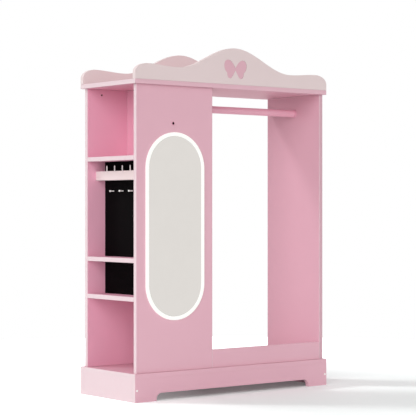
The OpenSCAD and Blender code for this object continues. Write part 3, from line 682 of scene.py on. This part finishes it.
# %% Outline of an apron
# Length of a foot, height of the toe gap, and the radius of its upper corners
TOE_FOOT = 0.103
TOE_TOP = 0.031
TOE_RADIUS = 0.025


def arc(centre, radius, start, stop, steps=12):
    """Points of an arc, its angles in degrees."""
    points = []
    for step in range(steps + 1):
        angle = math.radians(start + (stop - start) * step / steps)
        points.append((centre[0] + radius * math.cos(angle), centre[1] + radius * math.sin(angle)))
    return points


def toe_outline(node):
    low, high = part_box(node)
    left = low.x + TOE_FOOT
    right = high.x - TOE_FOOT
    inner = TOE_TOP - TOE_RADIUS
    return ([(low.x, low.z), (left, low.z)]
            + arc((left + TOE_RADIUS, inner), TOE_RADIUS, 180, 90)
            + arc((right - TOE_RADIUS, inner), TOE_RADIUS, 90, 0)
            + [(right, low.z), (high.x, low.z), (high.x, high.z), (low.x, high.z)])


print("an apron's outline has", len(toe_outline("front_apron")), "points")

# %% [markdown]
# The boards of the base lie flush, so their edges are kept sharper and without a pale rim. The
# bottom board is screwed down from below, and each screw's head sits in a hole of its own.

# %% Aprons and bottom board
# Depth of a countersunk screw's head
HEAD_DEPTH = 0.0042


def screw_cutters(node, side):
    """A cutter for the head of each screw of a node, on the side of the board it is driven from."""
    sign, axis = side
    along = "XYZ".index(axis)
    cutters = []
    for low, high in loose_parts(node):
        radius = (high - low)[(along + 1) % 3] / 2 + GAP
        start = (low + high) / 2
        start[along] = high[along] - HEAD_DEPTH if sign == "+" else low[along] - REACH
        cutters.append(drill(start, radius, HEAD_DEPTH + REACH, axis))
    return cutters


board("front_apron", "Y", outline=toe_outline("front_apron"), rim=0.0, edge=SEAM)
board("back_apron", "Y", outline=toe_outline("back_apron"), rim=0.0, edge=SEAM)
# The left apron faces the key lamp and gets a painted highlight
board("left_apron", "X", highlight_share=0.9, edge=SEAM)
board("right_apron", "X", rim=0.0, edge=SEAM)
board("bottom_board", "Z", cutters=screw_cutters("bottom_screws", "-Z"), rim=0.0, edge=SEAM)
print("base boards done, screws under them:", len(loose_parts("bottom_screws")))

# %% [markdown]
# ## The carcass
#
# The mirror panel has a hole for the switch and, at its back, a shallow rebate for the cover of
# the switch's lead. The back panel has the hole for a wall strap, the hole for the power inlet
# and its screws, and the shelves have round pockets for cam locks. Most of their places come from
# the CAD nodes that fill them.

# %% Holes of the column
# Radii of the holes for the switch, the strap and the inlet, and the strap's place
SWITCH_HOLE = 0.0066
STRAP_HOLE = 0.004
INLET_HOLE = 0.0056
STRAP_IN = 0.070
STRAP_DOWN = 0.023
# Radius and depth of a cam lock's pocket, and how near a lock lies to its shelf's underside
CAM_RADIUS = 0.0075
CAM_DEPTH = 0.0126
CAM_NEAR = 0.001


def switch_cutters():
    low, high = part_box("switch_bezel")
    cover_low, cover_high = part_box("wiring_cover")
    panel_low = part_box("mirror_panel")[0]
    middle = (low + high) / 2
    gap = Vector((GAP, 0.0, GAP))
    rebate_high = cover_high + gap + Vector((0.0, REACH, 0.0))
    return [drill(Vector((middle.x, panel_low.y - REACH, middle.z)), SWITCH_HOLE, THROUGH, "Y"),
            block(cover_low - gap, rebate_high)]


def back_cutters():
    low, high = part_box("back_panel")
    inlet_low, inlet_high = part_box("power_inlet")
    inlet = (inlet_low + inlet_high) / 2
    outside = low.y - REACH
    strap = Vector((low.x + STRAP_IN, outside, high.z - STRAP_DOWN))
    return (screw_cutters("back_screws", "+Y")
            + [drill(strap, STRAP_HOLE, THROUGH, "Y"),
               drill(Vector((inlet.x, outside, inlet.z)), INLET_HOLE, THROUGH, "Y")])


def cam_cutters(board_low):
    """Round pockets for the cam locks under a shelf."""
    cutters = []
    for low, high in loose_parts("cam_locks"):
        if abs(low.z - board_low) < CAM_NEAR:
            middle = (low + high) / 2
            start = Vector((middle.x, middle.y, board_low - REACH))
            cutters.append(drill(start, CAM_RADIUS, CAM_DEPTH + REACH, "Z"))
    return cutters


print("screws in the back:", len(loose_parts("back_screws")))

# %% [markdown]
# The column is three upright boards round three shelves, with a liner at the back of its top
# compartment. The right panel, a front lip and the top board make the hanging bay. Each could be
# drawn by itself, but they differ only in their boxes, their holes and their marks, so one
# function makes them all.

# %% Column, shelves and hanging bay
# Faces that look into the column get painted bounce pink
board("mirror_panel", "Y", cutters=switch_cutters(), inside=("+Y",))
board("back_panel", "Y", cutters=back_cutters(), inside=("-Y",))
board("main_divider", "X", inside=("-X",))
for shelf in ("upper_shelf", "middle_shelf", "lower_shelf"):
    pockets = cam_cutters(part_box(shelf)[0].z)
    board(shelf, "Z", cutters=pockets, inside=("+Z", "-Z"))
    print(shelf, "has", len(pockets), "pockets for cam locks")
board("book_liner", "X", inside=("-X",))
# Painted shade on the right panel, which stands in the hanging bay
board("right_panel", "X", deep=0.75)
board("front_lip", "Y")
board("top_board", "Z", cutters=screw_cutters("top_screws", "+Z"))
print("column and hanging bay done")

# %% [markdown]
# ## The valances
#
# A wavy board stands along the front and the back of the top. Its outline starts upright at the
# end, rolls over a round shoulder, dips and then rises to a crest in the middle. A spline through
# a few points would do too, but a cosine between two heights is level at both, which is just how
# such a wave is drawn. Half of it is worked out and the other half is its mirror image.

# %% Outline of a valance
# Height of its upright end, then the places of its shoulder and its dip, along and up from the
# end, and the height of its crest
END_UP = 0.026
SHOULDER = (0.062, 0.063)
DIP = (0.205, 0.055)
CREST_UP = 0.148
# Steps over the shoulder, down to the dip and up to the crest
ROLL_STEPS, FALL_STEPS, RISE_STEPS = 20, 16, 48


def wave(start, stop, steps):
    """Points from one (x, z) to another, level at both. The first one is left out."""
    points = []
    for step in range(1, steps + 1):
        share = step / steps
        points.append((start[0] + (stop[0] - start[0]) * share,
                       start[1] + (stop[1] - start[1]) * (1 - math.cos(math.pi * share)) / 2))
    return points


def valance_outline(node):
    low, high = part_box(node)
    crest = ((high.x - low.x) / 2, CREST_UP)
    line = [(0.0, 0.0)]
    for x, z in arc((0, 0), 1, 180, 90, ROLL_STEPS):
        line.append((SHOULDER[0] * (1 + x), END_UP + (SHOULDER[1] - END_UP) * z))
    line += wave(SHOULDER, DIP, FALL_STEPS) + wave(DIP, crest, RISE_STEPS)
    left = [(low.x + x, low.z + z) for x, z in line]
    right = [(high.x - x, low.z + z) for x, z in reversed(line[:-1])]
    return list(reversed(left + right))


print("valance points:", len(valance_outline("front_valance")))

# %% [markdown]
# ## The butterfly
#
# The butterfly is two wings let into the front valance, flush with its face. A curve object could
# draw them, but Python's own sums give the points at once and need no clearing up. A wing is five
# Bezier curves, with its points on a grid where half the butterfly is 58 wide. The pocket is cut
# from the same two wings, grown a little, so a fine line shows round them.

# %% Outline of a wing
# Half the butterfly's width and its height above the middle, on the grid of its points
WING_HALF = 58
WING_RISE = 36
WING_STEPS = 14
WING_LOBES = [((0, 4), (10, 20), (22, 36), (37, 36)), ((37, 36), (51, 36), (58, 27), (58, 13)),
              ((58, 13), (58, 0), (52, -11), (43, -15)), ((43, -15), (45, -27), (38, -39), (28, -39)),
              ((28, -39), (18, -39), (10, -22), (0, -6))]


def wing(side, grow=0.0):
    """One wing's outline in the front's plane, its first lobe at the middle of the unit."""
    low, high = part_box("butterfly")
    half = (high.x - low.x) / 2
    scale = (half + grow) / WING_HALF
    centre = Vector(((low.x + high.x) / 2, high.z - WING_RISE * half / WING_HALF))
    points = []
    for lobe in WING_LOBES:
        for step in range(WING_STEPS):
            t = step / WING_STEPS
            weights = ((1 - t)**3, 3 * t * (1 - t)**2, 3 * t * t * (1 - t), t**3)
            x, z = [sum(weight * point[i] for weight, point in zip(weights, lobe)) for i in (0, 1)]
            points.append((centre.x + side * x * scale, centre.y + z * scale))
    points.append((centre.x, centre.y + WING_LOBES[-1][-1][1] * scale))
    return points if side < 0 else list(reversed(points))


print("points round a wing:", len(wing(1)))

# %% [markdown]
# A worked mesh can hold several solids, so both wings become one piece, and later all the pegs of
# a kind. The front valance is a board with two pockets, and the back one is the same board without.

# %% Butterfly and valances
# How much larger the pocket is, and the sanding of its edges: next to none
WING_GAP = 0.0003
POCKET_EDGE = 0.00001


def wing_pocket():
    low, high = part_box("butterfly")
    return [slab_mesh(wing(side, WING_GAP), low.y - 2 * REACH, high.y, "Y", POCKET_EDGE)
            for side in (-1, 1)]


def joined(meshes):
    """Several worked meshes as one."""
    whole = bmesh.new()
    for part in meshes:
        spare = bpy.data.meshes.new("spare")
        part.to_mesh(spare)
        part.free()
        whole.from_mesh(spare)
        bpy.data.meshes.remove(spare)
    return whole


def butterfly():
    low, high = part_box("butterfly")
    both = joined([slab_mesh(wing(side), low.y, high.y, "Y", SEAM) for side in (-1, 1)])
    piece = finish_piece("butterfly_wings", both, wing_pink, replaced=("butterfly",))
    mark_board(piece, "Y")
    flat_faces(piece)
    return piece


board("front_valance", "Y", white, valance_outline("front_valance"), wing_pocket())
board("back_valance", "Y", white, valance_outline("back_valance"))
wings = butterfly()
print("top done, butterfly", round(wings.dimensions.x * 1000, 1), "mm wide")

# %% [markdown]
# ## Turned parts
#
# Pegs, caps, sockets and the switch are round, so each is drawn as a profile of radius and
# height and spun about its axis, as on a lathe. A Screw modifier spins too, but here the points
# come straight from the profile, so the solid is closed where it meets its axis. The profile
# gives the domes, necks and soft rims that a plain cylinder lacks.

# %% Spin a profile
# Sides of a small turned part, and of one whose outline is seen from near
TURNED_SIDES = 40
SMOOTH_SIDES = 64


def turned(profile, base, direction, segments=TURNED_SIDES):
    """A solid turned from a profile of (radius, height), from axis to axis or back to its start."""
    bm = bmesh.new()
    angles = [2 * math.pi * i / segments for i in range(segments)]
    rings = []
    for radius, height in profile:
        # A ring on the axis is a single point
        around = angles if radius else angles[:1]
        rings.append([bm.verts.new((radius * math.cos(angle), radius * math.sin(angle), height))
                      for angle in around])
    for lower, upper in zip(rings, rings[1:]):
        for i in range(segments):
            j = (i + 1) % segments
            corners = [lower[i % len(lower)], lower[j % len(lower)],
                       upper[j % len(upper)], upper[i % len(upper)]]
            # Dropping a corner that comes twice makes a triangle beside the axis
            bm.faces.new(list(dict.fromkeys(corners)))
    turn = Vector((0, 0, 1)).rotation_difference(Vector(direction)).to_matrix().to_4x4()
    bm.transform(Matrix.Translation(base) @ turn)
    face_outwards(bm)
    return bm


def dome(radius, height, top, steps=6, start=0):
    """Profile points of a dome that ends on the axis at height top."""
    round_part = arc((0, 0), 1, start, 90, steps)[:-1]
    return [(radius * x, top - height + height * z) for x, z in round_part] + [(0, top)]


print("a dome has", len(dome(1.0, 1.0, 1.0)), "profile points")

# %% [markdown]
# ## Pegs
#
# The pegs along the white rail are upright and have round tops. Those of the upper black board
# point out of it and end in a knob with a soft neck. Copies of one mesh would do, but a CAD node
# holds all its pegs in one mesh. So one function draws one peg into its solid's box, and the pegs
# of a node become one piece.

# %% Pegs
# An upright peg: the chamfer at its foot, and the round top and the straight stem below it,
# both counted down from the tip in radii
FOOT_CHAMFER = 0.0004
TOP_RADII = 1.6
STEM_RADII = 2.2
# A peg with a knob: its stem, how the stem swells and where, and the knob's first angle
NECK_RADIUS = 0.0025
NECK_SWELL = 1.12
NECK_RISE, NECK_END = 0.002, 0.0005
KNOB_STEPS = 9
KNOB_START = -56


def upright_peg(low, high):
    radius = (high.x - low.x) / 2
    length = high.z - low.z
    base = (low + high) / 2
    base.z = low.z
    profile = [(0, 0), (radius - FOOT_CHAMFER, 0), (radius, FOOT_CHAMFER),
               (radius, length - STEM_RADII * radius)]
    return turned(profile + dome(radius, TOP_RADII * radius, length), base, (0, 0, 1))


def necklace_peg(low, high):
    knob = (high.z - low.z) / 2
    length = high.x - low.x
    base = (low + high) / 2
    base.x = high.x
    neck = length - 2 * knob
    profile = [(0, 0), (NECK_RADIUS, 0), (NECK_RADIUS, neck - NECK_RISE),
               (NECK_SWELL * NECK_RADIUS, neck - NECK_END)]
    profile += dome(knob, knob, length, KNOB_STEPS, KNOB_START)[1:]
    return turned(profile, base, (-1, 0, 0))


def turned_set(node, make):
    """One piece for all the copies of a CAD node."""
    parts = [make(low, high) for low, high in loose_parts(node)]
    print(node, len(parts))
    return finish_piece(node + "_turned", joined(parts), white_plastic, replaced=(node,))


turned_set("rail_pegs", upright_peg)
turned_set("necklace_pegs", necklace_peg)

# %% [markdown]
# ## Screw caps
#
# White caps hide the screws at both ends of the front and back aprons. A flat disc would be
# enough from far away, but a cap is a low dome with a short upright rim, and it holds by a stub
# that sits in the screw's head.

# %% Caps over the screws
# How proud a cap is, its upright rim, and its stub
CAP_PROUD = 0.001
CAP_RIM = 0.0003
STUB_RADIUS = 0.0015
STUB_LENGTH = 0.002


def screw_cap(low, high):
    front = low.y < 0
    radius = (high.x - low.x) / 2
    base = (low + high) / 2
    base.y = low.y + CAP_PROUD if front else high.y - CAP_PROUD
    profile = [(0, -STUB_LENGTH), (STUB_RADIUS, -STUB_LENGTH), (STUB_RADIUS, 0), (radius, 0)]
    profile += dome(radius, CAP_PROUD - CAP_RIM, CAP_PROUD)
    return turned(profile, base, (0, -1 if front else 1, 0))


turned_set("screw_caps", screw_cap)

# %% [markdown]
# ## The white rail
#
# The rail high in the column is an upright strip on the front edge of a narrow ledge. Its CAD
# node is one angle with sharp edges. Two boards in its place get softened edges, as the other
# boards have, and a line where they meet.

# %% Rail strip and ledge
# Thickness of the strip and of the ledge, and the ledge's narrower edge
RAIL_STRIP = 0.012
RAIL_LEDGE = 0.010
LEDGE_EDGE = 0.0004


def hair_rail():
    low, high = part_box("hair_rail")
    seam = low.x + RAIL_STRIP
    strip = slab_mesh(rectangle("hair_rail", "X")[0], low.x, seam, "X")
    flat = [(seam, low.y), (high.x, low.y), (high.x, high.y), (seam, high.y)]
    ledge = slab_mesh(flat, low.z, low.z + RAIL_LEDGE, "Z", LEDGE_EDGE)
    piece = finish_piece("hair_rail_boards", joined([strip, ledge]), white,
                         replaced=("hair_rail",))
    mark_board(piece, "X")
    flat_faces(piece)
    return piece


print("rail", [round(v * 1000, 1) for v in hair_rail().dimensions], "mm")

# %% [markdown]
# ## Rod sockets
#
# Each end of the rod sits in a moulded cup. The cup has a soft outer rim and a wider foot line
# where it meets the board. It is turned as the pegs are, with a profile that goes up its outside,
# over the rim and down its bore.

# %% Sockets of the hanging rod
# Height of the foot line, how far it stands out and slopes back, the bore's chamfer, and the floor
FOOT_LINE = 0.0022
FOOT_STEP = 0.0005
FOOT_SLOPE = 0.0006
BORE_CHAMFER = 0.0008
CUP_FLOOR = 0.004
# The outer rim's two steps, as (inward from the wall, down from the mouth)
CUP_RIM = [(0, 0.0018), (0.0006, 0.0006), (0.0018, 0)]


def rod_socket(node, direction):
    low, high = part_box(node)
    rod_low, rod_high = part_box("hanging_rod")
    radius = (high.z - low.z) / 2
    deep = high.x - low.x
    bore = (rod_high.z - rod_low.z) / 2 + GAP
    wall = radius - FOOT_STEP
    base = (low + high) / 2
    base.x = low.x if direction > 0 else high.x
    profile = [(0, 0), (radius, 0), (radius, FOOT_LINE), (wall, FOOT_LINE + FOOT_SLOPE)]
    profile += [(wall - inward, deep - down) for inward, down in CUP_RIM]
    profile += [(bore + BORE_CHAMFER, deep), (bore, deep - BORE_CHAMFER), (bore, CUP_FLOOR),
                (0, CUP_FLOOR)]
    bm = turned(profile, base, (direction, 0, 0), SMOOTH_SIDES)
    return finish_piece(node + "_cup", bm, pink_plastic, replaced=(node,))


for node, direction in (("rod_socket_left", 1), ("rod_socket_right", -1)):
    cup = rod_socket(node, direction)
    print(cup.name, "reaches", round(cup.dimensions.x * 1000, 1), "mm into the bay")

# %% [markdown]
# ## The mirror and its lit rim
#
# The mirror and its rim follow one long shape with round ends, two straight sides and two half
# circles. Its second half is the first one turned round. Each point knows which way is outward
# and how far along the shape it lies, because the rim needs both.

# %% The long shape
def long_shape(width, height, arc_steps=48, side_steps=40):
    """Points of a shape with round ends: (x, z, outward x, outward z, distance walked)."""
    radius = width / 2
    side = height - width
    points = []
    for step in range(side_steps):
        z = -side / 2 + side * step / side_steps
        points.append((radius, z, 1.0, 0.0, z + side / 2))
    for step in range(arc_steps):
        angle = math.pi * step / arc_steps
        points.append((radius * math.cos(angle), side / 2 + radius * math.sin(angle),
                       math.cos(angle), math.sin(angle), side + radius * angle))
    half = side + math.pi * radius
    return points + [(-x, -z, -nx, -nz, s + half) for x, z, nx, nz, s in points]


print("points round the long shape:", len(long_shape(1.0, 2.0)))

# %% [markdown]
# The rim is an opal channel over a strip of small lights. A channel is best made by walking its
# cross-section along the shape that it follows. A bevelled curve would do the same, but its
# points could not carry a value. The lights sit 40 mm apart, so the glow rises and falls a
# little along the rim, and each point stores how much as the attribute glow.

# %% Walk a section along the shape
# Distance between two lights, the thickness of the channel's wall, and the radius of its corners
LED_PITCH = 0.040
RIM_WALL = 0.0015
RIM_CORNER = 0.0016
CORNER_STEPS = 4


def rim_section(wide, proud):
    """The channel's section as (outward, forward) points, its mouth on the panel."""
    half = wide / 2
    corner = arc((half - RIM_CORNER, proud - RIM_CORNER), RIM_CORNER, 0, 90, CORNER_STEPS)
    outer = [(half, 0.0)] + corner
    inner = [(-x, z) for x, z in reversed(outer)]
    room = half - RIM_WALL
    ceiling = proud - RIM_WALL
    return outer + inner + [(-room, 0.0), (-room, ceiling), (room, ceiling), (room, 0.0)]


def walk(path, section, centre):
    """Joins copies of a section along a closed path on the front of the panel."""
    bm = bmesh.new()
    glow = []
    rings = []
    for x, z, nx, nz, s in path:
        ring = []
        for out, forward in section:
            ring.append(bm.verts.new((centre.x + x + nx * out, centre.y - forward,
                                      centre.z + z + nz * out)))
            glow.append(0.5 + 0.5 * math.cos(2 * math.pi * s / LED_PITCH))
        rings.append(ring)
    for ring, following in zip(rings, rings[1:] + rings[:1]):
        for i in range(len(section)):
            j = (i + 1) % len(section)
            bm.faces.new((ring[i], following[i], following[j], ring[j]))
    face_outwards(bm)
    return bm, glow


print("a section has", len(rim_section(1.0, 1.0)), "points")

# %% [markdown]
# The opal plastic glows, and its own colour is kept dull so that the glow alone makes it white.
# Real lamps inside it would be slow to render and noisy, and an emission looks the same from
# outside.

# %% Opal rim
# Gap between the rim and the glass
GLASS_GAP = 0.0005


def opal():
    glowing = Finish("opal_glow")
    glow = glowing.stored("glow")
    haze = glowing.noise(glowing.place(), scale=300.0, detail=2.0)
    light = glowing.mix(glow * 0.8 + haze * 0.2, srgb(252, 252, 246), srgb(255, 255, 252))
    return glowing.surface(Base_Color=srgb(150, 150, 148), Roughness=0.35 + haze * 0.1,
                           Emission_Color=light, Emission_Strength=0.72)


def light_rim():
    low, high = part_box("light_rim")
    glass_low, glass_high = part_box("mirror_glass")
    wide = (high.x - low.x - (glass_high.x - glass_low.x)) / 2 - GLASS_GAP
    centre = Vector(((low.x + high.x) / 2, high.y, (low.z + high.z) / 2))
    path = long_shape(high.x - low.x - wide, high.z - low.z - wide)
    bm, glow = walk(path, rim_section(wide, high.y - low.y), centre)
    piece = finish_piece("light_rim_channel", bm, opal(), replaced=("light_rim",))
    store(piece.data, "glow", glow, "POINT")
    print("rim", round(wide * 1000, 1), "mm wide with a wall of", RIM_WALL * 1000)
    return piece


light_rim()

# %% [markdown]
# The glass is a slab of the same long shape. Its edge is ground, so its narrow faces get their
# own finish, and one mesh with two materials keeps the pane a single piece.

# %% Mirror glass
# The glass's sanded edge, and the share of a face's normal along Y from which it is silvered
GLASS_EDGE = 0.0005
MIRRORED = 0.9


def mirror_glass():
    low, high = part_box("mirror_glass")
    middle = (low + high) / 2
    path = long_shape(high.x - low.x, high.z - low.z)
    outline = [(middle.x + point[0], middle.z + point[1]) for point in path]
    bm = slab_mesh(outline, low.y, high.y, "Y", GLASS_EDGE)
    piece = finish_piece("mirror_glass_pane", bm, silver, replaced=("mirror_glass",))
    piece.data.materials.append(glass_edge)
    for polygon in piece.data.polygons:
        if abs(polygon.normal.y) < MIRRORED:
            polygon.material_index = 1
    flat_faces(piece)
    return piece


pane = mirror_glass()
print("glass", [round(v * 1000, 1) for v in pane.dimensions], "mm")

# %% [markdown]
# ## The light switch
#
# A small ring is let into the panel above the mirror, and its button sits a little below the
# panel's face. From a few steps away the two look like one dark dot, so the bore of the ring takes
# the button's dark plastic, as painted shade in the recess. The ring's profile never meets the
# axis. It ends where it starts, and the two rings of points there are then merged into one.

# %% Ring
# Radii of the ring's bore, of the guide behind it and of the barrel in the panel
RING_BORE = 0.0048
RING_GUIDE = 0.0056
RING_BARREL = 0.0065
# Where the guide begins behind the ring's face, the chamfer of the bore, how thick the flange is,
# and its rounded rim as (inward, down from the face)
GUIDE_DOWN = 0.0045
RING_CHAMFER = 0.0006
RING_THICK = 0.001
RING_RIM = [(0, 0.0007), (0.0003, 0.0002), (0.0009, 0)]


def switch_ring():
    low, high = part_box("switch_bezel")
    radius = (high.x - low.x) / 2
    deep = high.y - low.y
    base = (low + high) / 2
    base.y = high.y
    ledge = deep - GUIDE_DOWN
    profile = [(RING_GUIDE, 0), (RING_BARREL, 0), (RING_BARREL, deep - RING_THICK),
               (radius, deep - RING_THICK)]
    profile += [(radius - inward, deep - down) for inward, down in RING_RIM]
    profile += [(RING_BORE + RING_CHAMFER, deep), (RING_BORE, deep - RING_CHAMFER),
                (RING_BORE, ledge), (RING_GUIDE, ledge), (RING_GUIDE, 0)]
    bm = turned(profile, base, (0, -1, 0), SMOOTH_SIDES)
    bmesh.ops.remove_doubles(bm, verts=bm.verts, dist=SAME_POINT)
    face_outwards(bm)
    piece = finish_piece("switch_ring", bm, pink_plastic, replaced=("switch_bezel",))
    piece.data.materials.append(button_and_bore_shade)
    for polygon in piece.data.polygons:
        out = math.hypot(polygon.center.x - base.x, polygon.center.z - base.z)
        # Painted shade: the bore and the guide take the button's dark plastic
        if out < RING_GUIDE + GAP:
            polygon.material_index = 1
    return piece


print("ring", round(switch_ring().dimensions.x * 1000, 1), "mm across")

# %% [markdown]
# The button is its own body in the model, because a finger pushes it in. It could stay the plain
# CAD solid, but close up it has a dished face, a flange that keeps it in the ring, and a stem, so
# it is turned as well. It rides on the body button, and moves with it.

# %% Button
# Radii of the button's face and stem, the stem's chamfer, and where the flange begins below the
# face and how thick it is
BUTTON_RADIUS = 0.0045
STEM_RADIUS = 0.0020
STEM_CHAMFER = 0.0002
FLANGE_DOWN = 0.0032
FLANGE_THICK = 0.0014
# The button's rim as (inward, down), and its dish as (share of its radius, down)
BUTTON_RIM = [(0, 0.0006), (0.0002, 0.0002), (0.0007, 0)]
BUTTON_DISH = [(0.6, 0.00035), (0.3, 0.0005), (0, 0.00055)]
BUTTON_SIDES = 48


def switch_button():
    low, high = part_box("switch_button")
    flange = (high.x - low.x) / 2
    length = high.y - low.y
    base = (low + high) / 2
    base.y = high.y
    shoulder = length - FLANGE_DOWN
    top = shoulder + FLANGE_THICK
    profile = [(0, 0), (STEM_RADIUS - STEM_CHAMFER, 0), (STEM_RADIUS, STEM_CHAMFER),
               (STEM_RADIUS, shoulder), (flange, shoulder), (flange, top), (BUTTON_RADIUS, top)]
    profile += [(BUTTON_RADIUS - inward, length - down) for inward, down in BUTTON_RIM]
    profile += [(BUTTON_RADIUS * share, length - down) for share, down in BUTTON_DISH]
    bm = turned(profile, base, (0, -1, 0), BUTTON_SIDES)
    return finish_piece("switch_button_cap", bm, button_and_bore_shade, body="button",
                        replaced=("switch_button",))


print("button", round(switch_button().dimensions.y * 1000, 1), "mm long with its stem")

# %% [markdown]
# ## CAD parts that keep their shape
#
# Screws, cam locks, dowels, the rod, the felt boards and the electric parts already have their
# true shape. Making them again would only risk a difference, so they keep their CAD mesh and
# only change their material.

# %% Finish the carried-over parts
KEPT = {
    pink: ["centre_rail", "wiring_cover"],
    felt: ["necklace_board", "earring_board"],
    rod_coat: ["hanging_rod"],
    white_plastic: ["led_strip", "led_lead", "switch_lead", "light_controller", "lead_clips"],
    dark_plastic: ["switch_body", "power_inlet"],
    black_rubber: ["mirror_tape", "supply_lead"],
    zinc: ["base_screws", "bottom_screws", "top_screws", "back_screws", "socket_screws",
           "rail_screws", "controller_screws", "cam_locks", "cam_bolts", "inlet_nut"],
    beech: ["board_cleats", "base_dowels", "shelf_dowels", "liner_dowels", "lip_dowels",
            "valance_dowels"],
}
for material, names in KEPT.items():
    for name in names:
        for slot in cad_nodes[name].material_slots:
            slot.material = material
kept = sum(KEPT.values(), [])
undressed = [name for name, thing in cad_nodes.items()
             if not thing.hide_render and name not in kept]
print("kept:", len(kept), "undressed:", undressed)

# %% [markdown]
# ## Camera
#
# The camera stands level, 38 degrees to the left of the front and over six metres away, with a
# long lens. Its height is that of the horizon, a little over half the height of the unit. A lens
# and a place can be tried by eye, but here both were worked out from the corners of the base,
# the column and the top board, which all lie at known places.

# %% Place the camera
# Width of the sensor and length of the lens in millimetres, the place in metres, and the turn
SENSOR = 36.0
LENS = 132.3
CAMERA_PLACE = (-3.9199, -5.0273, 0.7554)
CAMERA_TURN = math.radians(-38.0)
LEVEL = math.radians(90.0)

lens = bpy.data.cameras.new("camera")
lens.sensor_width = SENSOR
lens.lens = LENS
camera = bpy.data.objects.new("camera", lens)
camera.location = CAMERA_PLACE
camera.rotation_euler = (LEVEL, 0.0, CAMERA_TURN)
bpy.context.scene.collection.objects.link(camera)
bpy.context.scene.camera = camera
print("camera", round(camera.location.length, 2), "m away")

# %% [markdown]
# ## Floor
#
# The unit stands on a pale studio floor. Where the shadow falls, in front of the unit at the
# right, the floor takes only the lamps' light. Away from there a white glow grows that only the
# camera sees, so the floor keeps the shadow and still melts into the background.

# %% Floor
# Middle of the shadow, how far the glow grows from there, and how strong it is at shares of that
SHADOW_MIDDLE = (0.45, -0.45, 0.0)
GLOW_REACH = 2.0
GLOW_STEPS = [(0.32, 0.08), (0.50, 0.30), (1.0, 0.9)]
FLOOR_RADIUS = 2.6
FLOOR_SIDES = 96
BLACK = (0.0, 0.0, 0.0, 1.0)
WHITE = (1.0, 1.0, 1.0, 1.0)


def studio_floor():
    paper = Finish("studio_paper")
    where = paper.add("ShaderNodeTexCoord", out="Object")
    from_shadow = paper.add("ShaderNodeVectorMath", {"operation": "SUBTRACT"},
                            {0: where, 1: SHADOW_MIDDLE})
    away = paper.add("ShaderNodeVectorMath", {"operation": "LENGTH"}, {0: from_shadow}, out="Value")
    tooth = paper.noise(where, scale=260.0, rough=0.6)
    seen = paper.add("ShaderNodeLightPath", out="Is Camera Ray")
    lift = seen * paper.steps(away * (1 / GLOW_REACH), GLOW_STEPS)
    paper.surface(Base_Color=paper.mix(tooth, srgb(249, 253, 252), srgb(251, 255, 254)),
                  Roughness=0.9, Specular_IOR_Level=0.0,
                  Emission_Color=paper.mix(lift, BLACK, WHITE), Emission_Strength=1.0)
    bm = bmesh.new()
    bmesh.ops.create_circle(bm, cap_ends=True, segments=FLOOR_SIDES, radius=FLOOR_RADIUS)
    mesh = bpy.data.meshes.new("studio_floor")
    bm.to_mesh(mesh)
    bm.free()
    mesh.materials.append(paper.material)
    floor = bpy.data.objects.new("studio_floor", mesh)
    bpy.context.scene.collection.objects.link(floor)
    return floor


print("floor", round(studio_floor().dimensions.x, 2), "m across")

# %% [markdown]
# ## World
#
# The world gives an even grey light, and the camera sees it as white. One background colour could
# not do both, so Light Path tells the camera's rays from the others. A third colour is for
# reflections: a warm pale grey, which is what the mirror shows.

# %% World
# The even light on surfaces, and the grey that reflections show
FILL = (0.474, 0.474, 0.474, 1.0)
GREY_CARD = (0.86, 0.825, 0.80, 1.0)


def studio_world(fill, seen, reflected):
    """An even fill on surfaces, white to the camera, and a soft grey in reflections."""
    world = bpy.data.worlds.new("studio")
    world.use_nodes = True
    sky = Nodes(world.node_tree)
    lit, white_card, grey_card = [sky.add("ShaderNodeBackground", None, {"Color": colour})
                                  for colour in (fill, seen, reflected)]
    camera_ray, glass_ray, glossy_ray = [
        sky.add("ShaderNodeLightPath", out=ray)
        for ray in ("Is Camera Ray", "Is Transmission Ray", "Is Glossy Ray")]
    straight = sky.add("ShaderNodeMath", {"operation": "MAXIMUM"}, {0: camera_ray, 1: glass_ray})
    room = sky.add("ShaderNodeMixShader", None, {0: glossy_ray, 1: lit, 2: grey_card})
    shown = sky.add("ShaderNodeMixShader", None, {0: straight, 1: room, 2: white_card})
    sky.feed(sky.tree.nodes["World Output"], {"Surface": shown})
    bpy.context.scene.world = world


studio_world(FILL, WHITE, GREY_CARD)
print("world:", bpy.context.scene.world.name)

# %% [markdown]
# ## Lamps
#
# The key lamp shines from behind on the left, so the ends of the boards that face left are the
# brightest faces and the shadow falls to the front right. A broad soft lamp from the front left
# lifts the front and the inside of the column, and a low one from behind on the right keeps the
# back lit. Area lamps would do as well, but distant ones give the same light wherever the unit
# stands. The soft ones stay out of reflections, or the mirror would show them.

# %% Lamps
def lamp(name, azimuth, elevation, strength, angle, colour=WHITE[:3], reflected=True):
    """A distant lamp. Azimuth 0 shines along +X, and grows towards +Y."""
    light = bpy.data.lights.new(name, "SUN")
    light.energy = strength
    light.color = colour
    light.angle = math.radians(angle)
    thing = bpy.data.objects.new(name, light)
    a, e = math.radians(azimuth), math.radians(elevation)
    shine = Vector((math.cos(a) * math.cos(e), math.sin(a) * math.cos(e), -math.sin(e)))
    thing.rotation_euler = shine.to_track_quat("-Z", "Y").to_euler()
    thing.visible_glossy = reflected
    bpy.context.scene.collection.objects.link(thing)
    return thing


lamps = [lamp("key", azimuth=-47.0, elevation=44.0, strength=1.0, angle=10.0,
              colour=(0.97, 1.0, 1.0)),
         lamp("fill", azimuth=38.0, elevation=15.0, strength=1.9, angle=50.0, reflected=False),
         lamp("rear_fill", azimuth=-130.0, elevation=6.0, strength=1.3, angle=50.0,
              reflected=False)]
bpy.context.scene.view_settings.view_transform = "Standard"
print("lamps:", [thing.name for thing in lamps])

# %% [markdown]
# ## Size
#
# The dressed unit must stay as large as the CAD model.
